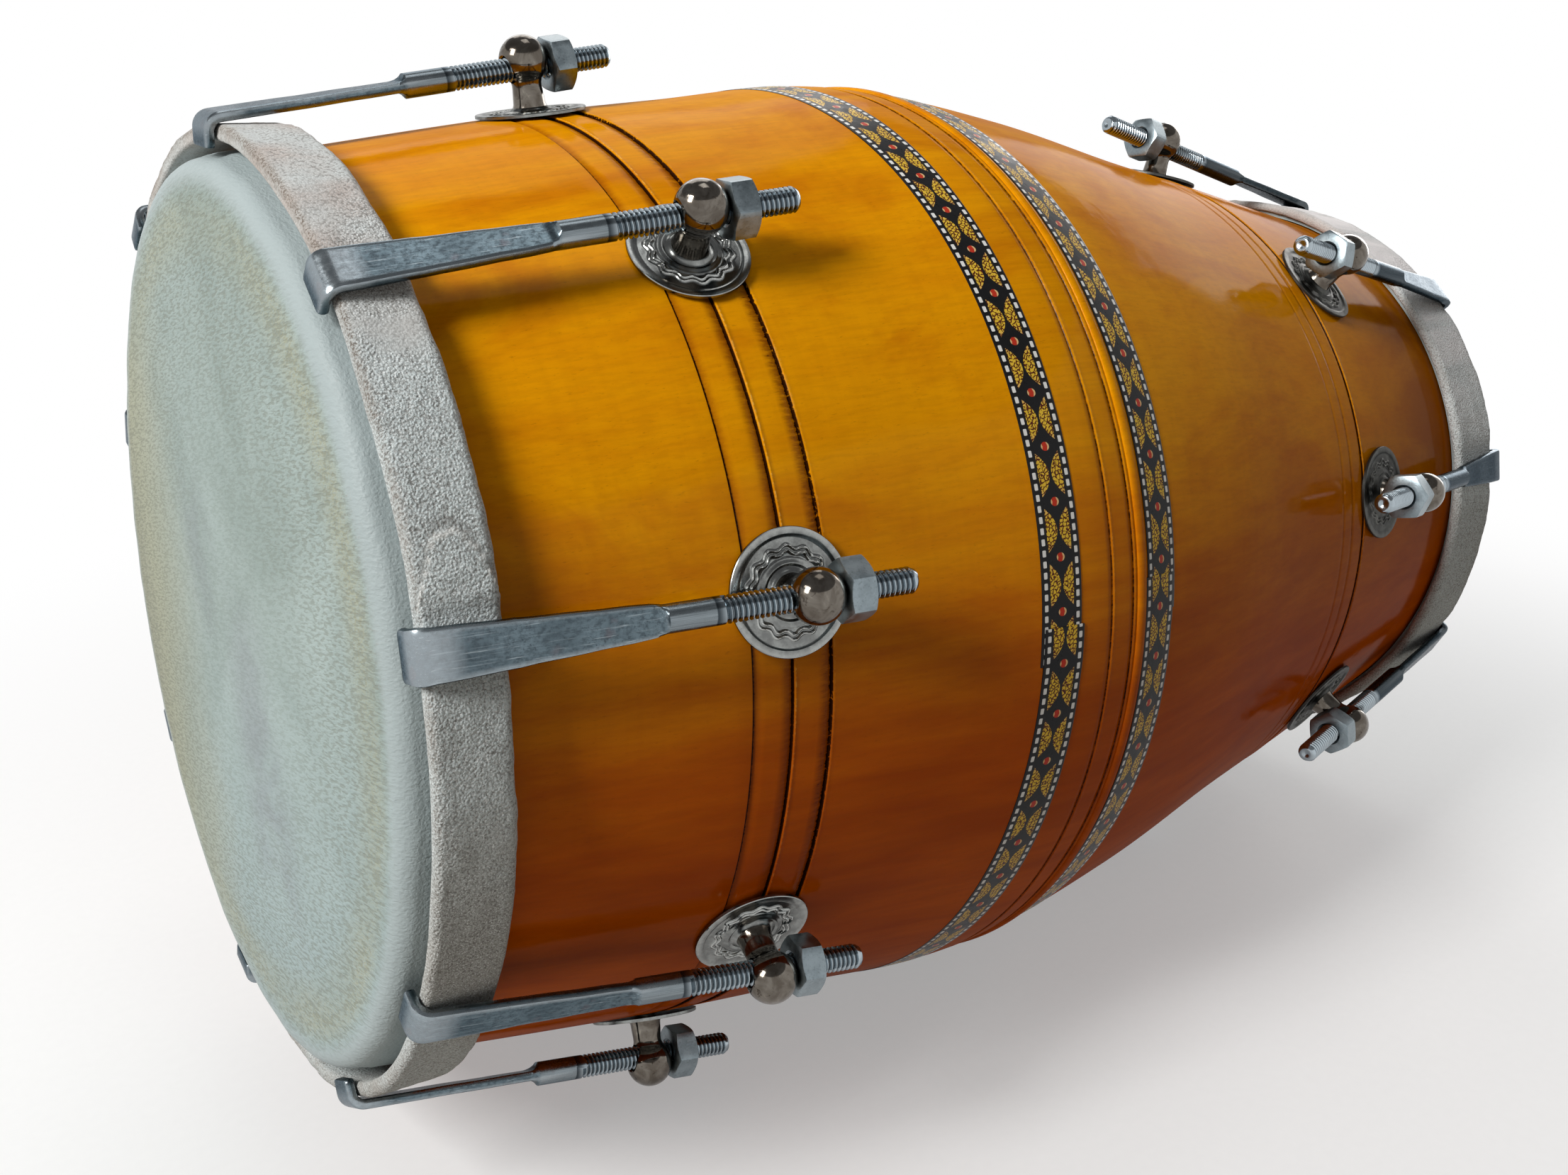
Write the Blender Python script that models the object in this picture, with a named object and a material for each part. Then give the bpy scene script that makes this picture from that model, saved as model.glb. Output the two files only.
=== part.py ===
"""A bolt-tuned dholak: barrel shell, two laced skins, leather-wrapped rims and tuning hardware.

The drum lies on its side. Lengths are in metres. Along the drum, x runs from the edge of the
big end (0) to the edge of the small end. Each end is built in its own frame, whose x runs from
its own edge towards the middle of the drum, and each tuning station has its z pointing outward.
"""

import math

import bmesh
import bpy
from mathutils import Matrix, Vector

# Shell: outer radius at turning stations, measured from the nearer edge
SHELL_LENGTH = 0.4217
BIG_EDGE_RADIUS = 0.1175
BIG_EYE_RADIUS = 0.1314
BIG_FLANK_FROM_EDGE = 0.1305
BIG_FLANK_RADIUS = 0.1367
CROWN_FROM_BIG_EDGE = 0.1805
CROWN_RADIUS = 0.1420
UPPER_FLANK_FROM_SMALL_EDGE = 0.1862
UPPER_FLANK_RADIUS = 0.1357
MIDDLE_FLANK_FROM_SMALL_EDGE = 0.1312
MIDDLE_FLANK_RADIUS = 0.1241
SMALL_EYE_RADIUS = 0.1153
SMALL_EDGE_RADIUS = 0.0975
WALL = 0.0100
BEARING_ROUND = 0.0040

# Turned grooves and the raised bead between the two ornament bands
GROOVE_WIDTH = 0.0016
GROOVE_DEPTH = 0.0008
BIG_GROOVE_STEP = 0.0100
SMALL_GROOVES_FROM_EDGE = (0.0983, 0.1063, 0.1140)
MIDDLE_GROOVES_FROM_BIG_EDGE = (0.1804, 0.1886)
BEAD_FROM_BIG_EDGE = 0.1916
BEAD_WIDTH = 0.0034
BEAD_HEIGHT = 0.0008

# Skins
SKIN_THICKNESS = 0.0015
BIG_COLLAR_LENGTH = 0.0120
SMALL_COLLAR_LENGTH = 0.0120
COMPOUND_RADIUS = 0.0550
COMPOUND_THICKNESS = 0.0025

# Leather-wrapped iron rims
BIG_RIM_RADIUS = 0.1274
BIG_RIM_WIDTH = 0.0180
BIG_RIM_FROM_EDGE = 0.0027
BIG_RIM_FLARE = 0.0005
BIG_RIM_THICKNESS = 0.0043
SMALL_RIM_RADIUS = 0.1052
SMALL_RIM_WIDTH = 0.0250
SMALL_RIM_FROM_EDGE = 0.0013
SMALL_RIM_FLARE = 0.0024
SMALL_RIM_THICKNESS = 0.0036

# Tuning stations
STATIONS = 9
BIG_EYE_FROM_EDGE = 0.0874
SMALL_EYE_FROM_EDGE = 0.0863
BIG_DRILL_ERROR_DEG = (-0.3, 6.0, 2.0, 0.0, -6.5, -2.7, -2.8, -1.8, 0.9)
SMALL_DRILL_ERROR_DEG = (-0.9, -6.5, -0.5, 0.0, 0.0, 0.0, -4.2, -4.8, -1.8)
FIRST_STATION_DEG = -40.0

# Hook bolts, made from quarter-inch rod
ROD_RADIUS = 0.003175
BIG_TIP_REACH = 0.0253
SMALL_TIP_REACH = 0.0305
BIG_FORGED_FROM_EYE = 0.0345
SMALL_FORGED_FROM_EYE = 0.0440
FORGED_RUN = 0.0030
TIP_CHAMFER = 0.0007
BLADE_THICKNESS = 0.0025
BLADE_ROOT_WIDTH = 0.0072
BLADE_END_WIDTH = 0.0114
BLADE_NOSE_WIDTH = 0.0100
BEND_INSIDE_RADIUS = 0.0022
LIP_PAST_RIM = 0.0014

# Eye bolts and their dished washers
BALL_RADIUS = 0.0065
BALL_HEIGHT = 0.0140
BALL_FLAT_TO_FLAT = 0.0116
ROD_BELOW_BALL_CENTRE = 0.0020
STEM_RADIUS = 0.0043
STEM_WAIST_RADIUS = 0.0038
WASHER_RADIUS = 0.0150
WASHER_THICKNESS = 0.0010
WASHER_RING_RADIUS = 0.0105
WASHER_RING_HEIGHT = 0.0018
SHANK_RADIUS = 0.0030
INNER_HEAD_RADIUS = 0.0055
INNER_HEAD_THICKNESS = 0.0040

# Tension nuts
NUT_ACROSS_FLATS = 0.0133
NUT_THICKNESS = 0.0066

# Clearances
FACE_GAP = 0.0003
ROD_GAP = 0.00035
HOOK_OUTER_GAP = 0.0004

# The drum lies on its belly between this station of the small end and the next
REST_STATION = 1

# Facets
PROFILE_STEP = 0.0260
ROUND_SEGMENTS = 40
EYE_SEGMENTS = 10
NUT_SEGMENTS = 12
BORE_SEGMENTS = 8
ARC_STEPS = 2
BEND_STEPS = 4

BIG = "big"
SMALL = "small"

COLOURS = {
    "varnished_wood": ((0.62, 0.27, 0.03), 0.22, 0.0),
    "skin": ((0.58, 0.60, 0.52), 0.55, 0.0),
    "wrapped_leather": ((0.64, 0.60, 0.56), 0.85, 0.0),
    "dried_compound": ((0.05, 0.05, 0.05), 0.80, 0.0),
    "forged_steel": ((0.40, 0.42, 0.44), 0.38, 1.0),
    "nickel": ((0.48, 0.45, 0.40), 0.28, 1.0),
    "zinc": ((0.62, 0.64, 0.66), 0.34, 1.0),
}


def clear_scene():
    for old in list(bpy.data.objects):
        bpy.data.objects.remove(old, do_unlink=True)


def make_material(name):
    colour, roughness, metallic = COLOURS[name]
    material = bpy.data.materials.new(name)
    material.use_nodes = True
    shader = material.node_tree.nodes["Principled BSDF"]
    shader.inputs["Base Color"].default_value = (*colour, 1.0)
    shader.inputs["Roughness"].default_value = roughness
    shader.inputs["Metallic"].default_value = metallic
    return material


def add_empty(name, parent=None, matrix=None):
    empty = bpy.data.objects.new(name, None)
    bpy.context.collection.objects.link(empty)
    empty.parent = parent
    empty.matrix_local = matrix or Matrix.Identity(4)
    return empty


def add_object(name, mesh, parent, matrix=None):
    piece = bpy.data.objects.new(name, mesh)
    bpy.context.collection.objects.link(piece)
    piece.parent = parent
    piece.matrix_local = matrix or Matrix.Identity(4)
    return piece


def finish_mesh(name, bm, material, sharp_deg=35.0):
    bmesh.ops.remove_doubles(bm, verts=bm.verts, dist=1e-7)
    bmesh.ops.recalc_face_normals(bm, faces=bm.faces)
    mesh = bpy.data.meshes.new(name)
    bm.to_mesh(mesh)
    bm.free()
    mesh.materials.append(material)
    mesh.shade_smooth()
    mesh.set_sharp_from_angle(angle=math.radians(sharp_deg))
    return mesh


def turned_mesh(name, outline, material, segments=ROUND_SEGMENTS, closed=True):
    """Spins an outline of (x, radius) points round the x axis."""
    bm = bmesh.new()
    verts = [bm.verts.new((x, 0.0, radius)) for x, radius in outline]
    edges = [bm.edges.new(pair) for pair in zip(verts, verts[1:])]
    if closed:
        edges.append(bm.edges.new((verts[-1], verts[0])))
    bmesh.ops.spin(bm, geom=verts + edges, cent=(0, 0, 0), axis=(1, 0, 0), dvec=(0, 0, 0),
                   angle=2 * math.pi, steps=segments, use_merge=True, use_duplicate=False)
    return finish_mesh(name, bm, material)


def loft(bm, rings, capped=True):
    """Joins rings of points, each with as many points, into a tube with flat ends."""
    made = [[bm.verts.new(point) for point in ring] for ring in rings]
    for near, far in zip(made, made[1:]):
        for i in range(len(near)):
            j = (i + 1) % len(near)
            bm.faces.new((near[i], near[j], far[j], far[i]))
    if capped:
        bm.faces.new(reversed(made[0]))
        bm.faces.new(made[-1])
    return made


def arc(centre_x, centre_r, radius, start_deg, end_deg, steps):
    """Points of an arc in the (x, radius) plane, both ends included."""
    points = []
    for i in range(steps + 1):
        angle = math.radians(start_deg + (end_deg - start_deg) * i / steps)
        points.append((centre_x + radius * math.cos(angle), centre_r + radius * math.sin(angle)))
    return points


class End:
    """The sizes of one end of the drum, in that end's own frame."""

    def __init__(self, name):
        big = name == BIG
        self.name = name
        self.edge_radius = BIG_EDGE_RADIUS if big else SMALL_EDGE_RADIUS
        self.eye_x = BIG_EYE_FROM_EDGE if big else SMALL_EYE_FROM_EDGE
        self.collar = BIG_COLLAR_LENGTH if big else SMALL_COLLAR_LENGTH
        self.rim_radius = BIG_RIM_RADIUS if big else SMALL_RIM_RADIUS
        self.rim_width = BIG_RIM_WIDTH if big else SMALL_RIM_WIDTH
        self.rim_x = BIG_RIM_FROM_EDGE if big else SMALL_RIM_FROM_EDGE
        self.rim_flare = BIG_RIM_FLARE if big else SMALL_RIM_FLARE
        self.rim_thickness = BIG_RIM_THICKNESS if big else SMALL_RIM_THICKNESS
        self.tip_reach = BIG_TIP_REACH if big else SMALL_TIP_REACH
        self.forged = BIG_FORGED_FROM_EYE if big else SMALL_FORGED_FROM_EYE
        self.errors = BIG_DRILL_ERROR_DEG if big else SMALL_DRILL_ERROR_DEG
        self.set_eye_seat()
        self.set_rod_line()

    def from_big(self, x):
        return x if self.name == BIG else SHELL_LENGTH - x

    def shell_radius(self, x):
        return shell_radius(self.from_big(x))

    def set_eye_seat(self):
        """The washer lies on the shell's highest points under it, its inner head in the bore."""
        reach = WASHER_RADIUS
        rise = self.shell_radius(self.eye_x + reach) - self.shell_radius(self.eye_x - reach)
        slope = rise / (2 * reach)
        self.eye_tilt = math.atan(slope)
        self.eye_radius = max(self.shell_radius(self.eye_x + reach * k) - reach * k * slope
                              for k in (-1, -0.5, 0, 0.5, 1))
        head = 1.5 * INNER_HEAD_RADIUS
        under = min(bore_radius(self.from_big(self.eye_x + head * k)) - head * k * slope
                    for k in (-1, 0, 1))
        chord = under * (1 - math.cos(math.pi / ROUND_SEGMENTS))
        bulge = INNER_HEAD_RADIUS**2 / (2 * under)
        self.grip = (self.eye_radius - under + chord + bulge) * math.cos(self.eye_tilt)

    def set_rod_line(self):
        """The rod's line runs through the eye and lays the blade over the rim's front edge."""
        height = BALL_HEIGHT - ROD_BELOW_BALL_CENTRE
        self.cross_x = self.eye_x - height * math.sin(self.eye_tilt)
        self.cross_r = self.eye_radius + height * math.cos(self.eye_tilt)
        run = self.cross_x - (self.rim_x - FACE_GAP + BEND_INSIDE_RADIUS)
        rise = self.cross_r - (self.rim_radius + HOOK_OUTER_GAP - BEND_INSIDE_RADIUS)
        span = math.hypot(run, rise)
        offset = BEND_INSIDE_RADIUS + BLADE_THICKNESS / 2
        self.rod_tilt = math.atan2(rise, run) - math.asin(offset / span)
        self.blade_reach = math.sqrt(span**2 - offset**2)

    def around(self, index):
        """Place of a station round the drum, in degrees up from its front."""
        error = self.errors[index % len(self.errors)]
        return FIRST_STATION_DEG - 360.0 / STATIONS * index + error

    def station_angle(self, index):
        """Angle about the end's own x axis that points z out along the station."""
        turn = math.radians(90.0 - self.around(index))
        return turn if self.name == BIG else -turn


def shell_knots():
    """Turning stations of the shell from the big edge to the small one."""
    small = SHELL_LENGTH
    return [
        (0.0, BIG_EDGE_RADIUS),
        (BIG_EYE_FROM_EDGE, BIG_EYE_RADIUS),
        (BIG_FLANK_FROM_EDGE, BIG_FLANK_RADIUS),
        (CROWN_FROM_BIG_EDGE, CROWN_RADIUS),
        (small - UPPER_FLANK_FROM_SMALL_EDGE, UPPER_FLANK_RADIUS),
        (small - MIDDLE_FLANK_FROM_SMALL_EDGE, MIDDLE_FLANK_RADIUS),
        (small - SMALL_EYE_FROM_EDGE, SMALL_EYE_RADIUS),
        (small, SMALL_EDGE_RADIUS),
    ]


def shell_radius(x):
    """Smooth outer radius: a cubic through the turning stations."""
    knots = shell_knots()
    x = min(max(x, knots[0][0]), knots[-1][0])
    last = len(knots) - 2
    k = next((i for i in range(last + 1) if x <= knots[i + 1][0]), last)

    def slope(i):
        low, high = knots[max(i - 1, 0)], knots[min(i + 1, len(knots) - 1)]
        return (high[1] - low[1]) / (high[0] - low[0])

    (x0, r0), (x1, r1) = knots[k], knots[k + 1]
    span = x1 - x0
    t = (x - x0) / span
    return (r0 * (2 * t**3 - 3 * t**2 + 1) + r1 * (3 * t**2 - 2 * t**3)
            + slope(k) * span * (t**3 - 2 * t**2 + t) + slope(k + 1) * span * (t**3 - t**2))


def groove_points(x):
    half = GROOVE_WIDTH / 2
    return [(x - half, shell_radius(x - half)), (x, shell_radius(x) - GROOVE_DEPTH),
            (x + half, shell_radius(x + half))]


def bead_points(x):
    half = BEAD_WIDTH / 2
    crest = BEAD_WIDTH / 5
    return [(x - half, shell_radius(x - half)), (x - crest, shell_radius(x) + BEAD_HEIGHT),
            (x + crest, shell_radius(x) + BEAD_HEIGHT), (x + half, shell_radius(x + half))]


def bore_stations():
    """Points of the bore from the big edge to the small one, a wall's thickness inside."""
    places = [0.0, BIG_EYE_FROM_EDGE / 2, BIG_EYE_FROM_EDGE, CROWN_FROM_BIG_EDGE,
              SHELL_LENGTH - MIDDLE_FLANK_FROM_SMALL_EDGE, SHELL_LENGTH - SMALL_EYE_FROM_EDGE,
              SHELL_LENGTH]
    return [(x, shell_radius(x) - WALL) for x in places]


def bore_radius(x):
    """Inner radius, straight between the bore's stations."""
    points = bore_stations()
    near = max(i for i in range(len(points) - 1) if points[i][0] <= x or i == 0)
    (x0, r0), (x1, r1) = points[near], points[near + 1]
    return r0 + (r1 - r0) * (x - x0) / (x1 - x0)


def shell_outline():
    """Outer side from the big edge to the small one, then back along the bore."""
    round_r = BEARING_ROUND
    outer = arc(round_r, BIG_EDGE_RADIUS - round_r, round_r, 180, 90, ARC_STEPS)
    marks = [BIG_EYE_FROM_EDGE + BIG_GROOVE_STEP * i for i in (-1, 0, 1)]
    marks += list(MIDDLE_GROOVES_FROM_BIG_EDGE)
    marks += [SHELL_LENGTH - x for x in SMALL_GROOVES_FROM_EDGE]
    detail = [point for x in marks for point in groove_points(x)]
    detail += bead_points(BEAD_FROM_BIG_EDGE)
    taken = [x for x, _ in detail]
    for (low, _), (high, _) in zip(shell_knots(), shell_knots()[1:]):
        count = max(1, round((high - low) / PROFILE_STEP))
        for i in range(count):
            x = low + (high - low) * i / count
            if x > 2 * round_r and min(abs(x - t) for t in taken) > 2 * GROOVE_WIDTH:
                detail.append((x, shell_radius(x)))
    outer += sorted(detail)
    outer += arc(SHELL_LENGTH - round_r, SMALL_EDGE_RADIUS - round_r, round_r, 90, 0, ARC_STEPS)
    return outer + bore_stations()[::-1]


def skin_outline(end):
    """A flat head with a rounded shoulder and a collar down the outside of the shell."""
    face_in = -FACE_GAP
    face_out = face_in - SKIN_THICKNESS
    shoulder = BEARING_ROUND + FACE_GAP
    outside = shoulder + SKIN_THICKNESS
    centre = (BEARING_ROUND, end.edge_radius - BEARING_ROUND)
    outer = [(face_out, 0.0)] + arc(*centre, outside, 180, 90, ARC_STEPS)
    lap = end.shell_radius(end.collar) + FACE_GAP
    outer.append((end.collar, lap + SKIN_THICKNESS))
    inner = [(end.collar, lap)] + arc(*centre, shoulder, 90, 180, ARC_STEPS)
    inner.append((face_in, 0.0))
    return outer + inner


def rim_outline(end):
    """A flat band with rounded edges that opens a little towards the middle of the drum."""
    nose = end.rim_thickness / 2
    front = end.rim_x + nose
    back = end.rim_x + end.rim_width - nose
    middle = end.rim_radius - nose
    loop = arc(front, middle, nose, 270, 90, 3)
    loop += arc(back, middle + end.rim_flare, nose, 90, -90, 3)
    return loop


def section(width, thickness, corner):
    """Eight points of a flat bar with clipped corners, across (width) and up (thickness)."""
    a, b = width / 2, thickness / 2
    return [(a, b - corner), (a - corner, b), (corner - a, b), (-a, b - corner),
            (-a, corner - b), (corner - a, -b), (a - corner, -b), (a, corner - b)]


def round_section(radius):
    eighth = math.pi / 8
    return [(radius * math.cos(eighth * (2 * i + 1)), radius * math.sin(eighth * (2 * i + 1)))
            for i in range(8)]


def ring_at(points, origin, tangent):
    """Stands a section across a path in the (x, z) plane, y being its width."""
    up = Vector((-tangent.z, 0.0, tangent.x))
    return [origin + Vector((0.0, across, 0.0)) + up * height for across, height in points]


def hook_bolt_mesh(end, material):
    """Round rod, flattened into a widening blade that bends back under the rim's front edge."""
    along = Vector((1.0, 0.0, 0.0))
    rings = [
        ring_at(round_section(ROD_RADIUS - TIP_CHAMFER), along * end.tip_reach, along),
        ring_at(round_section(ROD_RADIUS), along * (end.tip_reach - TIP_CHAMFER), along),
        ring_at(round_section(ROD_RADIUS), along * -end.forged, along),
    ]
    root = section(BLADE_ROOT_WIDTH, BLADE_THICKNESS, BLADE_THICKNESS / 4)
    wide = section(BLADE_END_WIDTH, BLADE_THICKNESS, BLADE_THICKNESS / 5)
    nose = section(BLADE_NOSE_WIDTH, BLADE_THICKNESS, BLADE_THICKNESS / 5)
    rings.append(ring_at(root, along * -(end.forged + FORGED_RUN), along))
    rings.append(ring_at(wide, along * -(end.blade_reach - 0.004), along))
    bend = BEND_INSIDE_RADIUS + BLADE_THICKNESS / 2
    bend_centre = Vector((-end.blade_reach, 0.0, -bend))
    for i in range(BEND_STEPS + 1):
        turn = (math.pi / 2 - end.rod_tilt) * i / BEND_STEPS
        out = Vector((-math.sin(turn), 0.0, math.cos(turn)))
        tangent = Vector((math.cos(turn), 0.0, math.sin(turn)))
        rings.append(ring_at(wide, bend_centre + out * bend, tangent))
    lip = end.rim_thickness + HOOK_OUTER_GAP + LIP_PAST_RIM - BEND_INSIDE_RADIUS
    rings.append(ring_at(nose, bend_centre + out * bend - tangent * lip, tangent))
    bm = bmesh.new()
    loft(bm, rings)
    return finish_mesh(f"hook_bolt_{end.name}", bm, material)


def nut_mesh(material):
    """A hexagon nut about the x axis, with a bore that clears the rod."""
    bore = (ROD_RADIUS + ROD_GAP) / math.cos(math.pi / NUT_SEGMENTS)
    apothem = NUT_ACROSS_FLATS / 2

    def hexagon(x):
        ring = []
        for i in range(NUT_SEGMENTS):
            angle = 2 * math.pi * i / NUT_SEGMENTS
            reach = apothem if i % 2 == 0 else apothem / math.cos(math.pi / 6)
            ring.append((x, reach * math.sin(angle), reach * math.cos(angle)))
        return ring

    def hole(x):
        step = 2 * math.pi / NUT_SEGMENTS
        return [(x, bore * math.sin(step * i), bore * math.cos(step * i))
                for i in range(NUT_SEGMENTS)]

    half = NUT_THICKNESS / 2
    rings = [hole(-half), hexagon(-half), hexagon(half), hole(half), hole(-half)]
    bm = bmesh.new()
    loft(bm, rings, capped=False)
    return finish_mesh("tension_nut", bm, material)


def eye_outline(end):
    """Half section of the eye bolt from its inner head up to the top of the ball."""
    head_top = -end.grip - FACE_GAP
    head_low = head_top - INNER_HEAD_THICKNESS
    seat = FACE_GAP
    ball_low = BALL_HEIGHT - BALL_RADIUS
    lines = [(head_low, 0.0), (head_low, INNER_HEAD_RADIUS), (head_top, INNER_HEAD_RADIUS),
             (head_top, SHANK_RADIUS), (seat, SHANK_RADIUS), (seat, WASHER_RADIUS),
             (seat + WASHER_THICKNESS, WASHER_RADIUS),
             (seat + WASHER_RING_HEIGHT, WASHER_RING_RADIUS),
             (seat + WASHER_RING_HEIGHT, STEM_RADIUS),
             (ball_low + 0.0004, STEM_WAIST_RADIUS)]
    for degrees in (-35, 0, 35, 65):
        angle = math.radians(degrees)
        lines.append((BALL_HEIGHT + BALL_RADIUS * math.sin(angle), BALL_RADIUS * math.cos(angle)))
    lines.append((BALL_HEIGHT + BALL_RADIUS, 0.0))
    return lines


def cutter(name, mesh, parent, matrix):
    """A guide solid for a cut, left out of the model."""
    guide = add_object(name, mesh, parent, matrix)
    guide.hide_render = True
    guide.display_type = "WIRE"
    return guide


def rod_mesh(name, radius, low_x, high_x, material, segments=BORE_SEGMENTS):
    outline = [(low_x, 0.0), (low_x, radius), (high_x, radius), (high_x, 0.0)]
    return turned_mesh(name, outline, material, segments, closed=False)


def box_mesh(name, low, high, material):
    bm = bmesh.new()
    bmesh.ops.create_cube(bm, size=1.0)
    size = Vector(high) - Vector(low)
    centre = (Vector(high) + Vector(low)) / 2
    for vert in bm.verts:
        vert.co = centre + Vector((vert.co.x * size.x, vert.co.y * size.y, vert.co.z * size.z))
    return finish_mesh(name, bm, material)


def cut(piece, tool, name):
    modifier = piece.modifiers.new(name, "BOOLEAN")
    modifier.operation = "DIFFERENCE"
    modifier.solver = "EXACT"
    modifier.object = tool


def evaluated_mesh(piece):
    """The piece's mesh with its cuts made, so that its copies can share it."""
    graph = bpy.context.evaluated_depsgraph_get()
    return bpy.data.meshes.new_from_object(piece.evaluated_get(graph))


def eye_bolt_mesh(end, material):
    """A ball-headed eye bolt through its washer, with flats and a cross bore for the rod."""
    bench = add_empty(f"eye_bench_{end.name}")
    upright = Matrix.Rotation(math.radians(-90), 4, "Y")
    blank = turned_mesh("eye_blank", eye_outline(end), material, EYE_SEGMENTS, closed=False)
    blank.transform(upright)
    piece = add_object("eye_blank", blank, bench)
    lean = end.rod_tilt - end.eye_tilt
    cross = Matrix.Translation((0, 0, BALL_HEIGHT - ROD_BELOW_BALL_CENTRE)) @ Matrix.Rotation(
        -lean, 4, "Y")
    bore_radius = (ROD_RADIUS + ROD_GAP) / math.cos(math.pi / BORE_SEGMENTS)
    reach = 3 * BALL_RADIUS
    bore = cutter("bore_guide", rod_mesh("bore_guide", bore_radius, -reach, reach, material),
                  bench, cross)
    cut(piece, bore, "cross_bore")
    half = BALL_FLAT_TO_FLAT / 2
    low_z = -BALL_RADIUS * 0.62
    tools = [bore]
    for side in (-1, 1):
        near, far = sorted((side * half, side * reach))
        box = box_mesh("flat_guide", (near, -reach, low_z), (far, reach, reach), material)
        tools.append(cutter(f"flat_guide_{side}", box, bench, cross))
        cut(piece, tools[-1], f"flat_{side}")
    mesh = evaluated_mesh(piece)
    mesh.name = f"eye_bolt_{end.name}"
    for old in [piece, *tools, bench]:
        bpy.data.objects.remove(old, do_unlink=True)
    mesh.shade_smooth()
    mesh.set_sharp_from_angle(angle=math.radians(35))
    return mesh


def drill_shell(shell, end, frame, material):
    """One hole through the shell wall for each eye bolt."""
    radius = (SHANK_RADIUS + FACE_GAP) / math.cos(math.pi / EYE_SEGMENTS)
    for index in range(STATIONS):
        mesh = rod_mesh("drill_guide", radius, -end.grip - WALL, WALL, material, EYE_SEGMENTS)
        mesh.transform(Matrix.Rotation(math.radians(-90), 4, "Y"))
        spin = Matrix.Rotation(end.station_angle(index), 4, "X")
        seat = Matrix.Translation((end.eye_x, 0, end.eye_radius)) @ Matrix.Rotation(
            -end.eye_tilt, 4, "Y")
        tool = cutter(f"drill_guide_{end.name}_{index + 1}", mesh, frame, spin @ seat)
        cut(shell, tool, tool.name)


def build_end(end, frame, materials):
    add_object(f"skin_{end.name}",
               turned_mesh(f"skin_{end.name}", skin_outline(end), materials["skin"], closed=False),
               frame)
    add_object(f"rim_{end.name}",
               turned_mesh(f"rim_{end.name}", rim_outline(end), materials["wrapped_leather"]),
               frame)
    hook = hook_bolt_mesh(end, materials["forged_steel"])
    eye = eye_bolt_mesh(end, materials["nickel"])
    nut = nut_mesh(materials["zinc"])
    for index in range(STATIONS):
        number = index + 1
        spin = Matrix.Rotation(end.station_angle(index), 4, "X")
        station = add_empty(f"station_{end.name}_{number}", frame, spin)
        seat = Matrix.Translation((end.eye_x, 0, end.eye_radius)) @ Matrix.Rotation(
            -end.eye_tilt, 4, "Y")
        add_object(f"eye_bolt_{end.name}_{number}", eye, station, seat)
        rod = Matrix.Translation((end.cross_x, 0, end.cross_r)) @ Matrix.Rotation(
            -end.rod_tilt, 4, "Y")
        rod_axis = add_empty(f"rod_axis_{end.name}_{number}", station, rod)
        add_object(f"hook_bolt_{end.name}_{number}", hook, rod_axis)
        seat_x = BALL_FLAT_TO_FLAT / 2 + FACE_GAP + NUT_THICKNESS / 2
        add_object(f"tension_nut_{end.name}_{number}", nut, rod_axis,
                   Matrix.Translation((seat_x, 0, 0)))


def rest_pose(end):
    """Lies the drum on its belly and on the two lowest nuts of the small end."""
    reach = BALL_FLAT_TO_FLAT / 2 + FACE_GAP + NUT_THICKNESS
    nut_x = SHELL_LENGTH - end.cross_x - reach * math.cos(end.rod_tilt)
    corner = NUT_ACROSS_FLATS / 2 / math.cos(math.pi / 6)
    nut_r = end.cross_r + reach * math.sin(end.rod_tilt) + corner
    first, second = end.around(REST_STATION), end.around(REST_STATION + 1)
    low = nut_r * math.cos(math.radians(first - second) / 2)
    steps = [nut_x * i / 60 for i in range(55)]
    tilt = max(math.atan2(shell_radius(x) - low, nut_x - x) for x in steps)
    roll = math.radians(90.0 + (first + second) / 2)
    return Matrix.Rotation(tilt, 4, "Y") @ Matrix.Rotation(roll, 4, "X")


def set_on_ground(root):
    """Moves the drum so that the origin is under the middle of its box, on the ground."""
    bpy.context.view_layer.update()
    graph = bpy.context.evaluated_depsgraph_get()
    low = Vector((math.inf, math.inf, math.inf))
    high = -low
    for piece in bpy.data.objects:
        if piece.type != "MESH" or piece.hide_render:
            continue
        solid = piece.evaluated_get(graph)
        for vert in solid.data.vertices:
            place = solid.matrix_world @ vert.co
            low = Vector(map(min, low, place))
            high = Vector(map(max, high, place))
    shift = Vector((-(low.x + high.x) / 2, -(low.y + high.y) / 2, -low.z))
    root.matrix_local = Matrix.Translation(shift) @ root.matrix_local
    bpy.context.view_layer.update()


def build_drum():
    clear_scene()
    materials = {name: make_material(name) for name in COLOURS}
    big_end = End(BIG)
    small_end = End(SMALL)
    root = add_empty("drum", matrix=rest_pose(small_end))
    big_frame = add_empty("big_end", root)
    turn = Matrix.Translation((SHELL_LENGTH, 0, 0)) @ Matrix.Rotation(math.pi, 4, "Z")
    small_frame = add_empty("small_end", root, turn)
    wood = materials["varnished_wood"]
    shell = add_object("shell", turned_mesh("shell", shell_outline(), wood), root)
    drill_shell(shell, big_end, big_frame, wood)
    drill_shell(shell, small_end, small_frame, wood)
    build_end(big_end, big_frame, materials)
    build_end(small_end, small_frame, materials)
    patch = rod_mesh("inner_compound", COMPOUND_RADIUS, 0.0, COMPOUND_THICKNESS,
                     materials["dried_compound"], ROUND_SEGMENTS)
    add_object("inner_compound", patch, big_frame)
    set_on_ground(root)


build_drum()
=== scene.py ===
"""Dresses a packed dholak for a studio picture: shell, skins, wrapped rims, hardware and bands.

Lengths are in metres. The drum's own frame has x along its axis, from the edge of the big end
towards the small one. Each end is worked in a frame whose x runs from its own edge inward.
"""

import math

import bmesh
import bpy
import numpy as np
from mathutils import Matrix, Vector, noise


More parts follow.
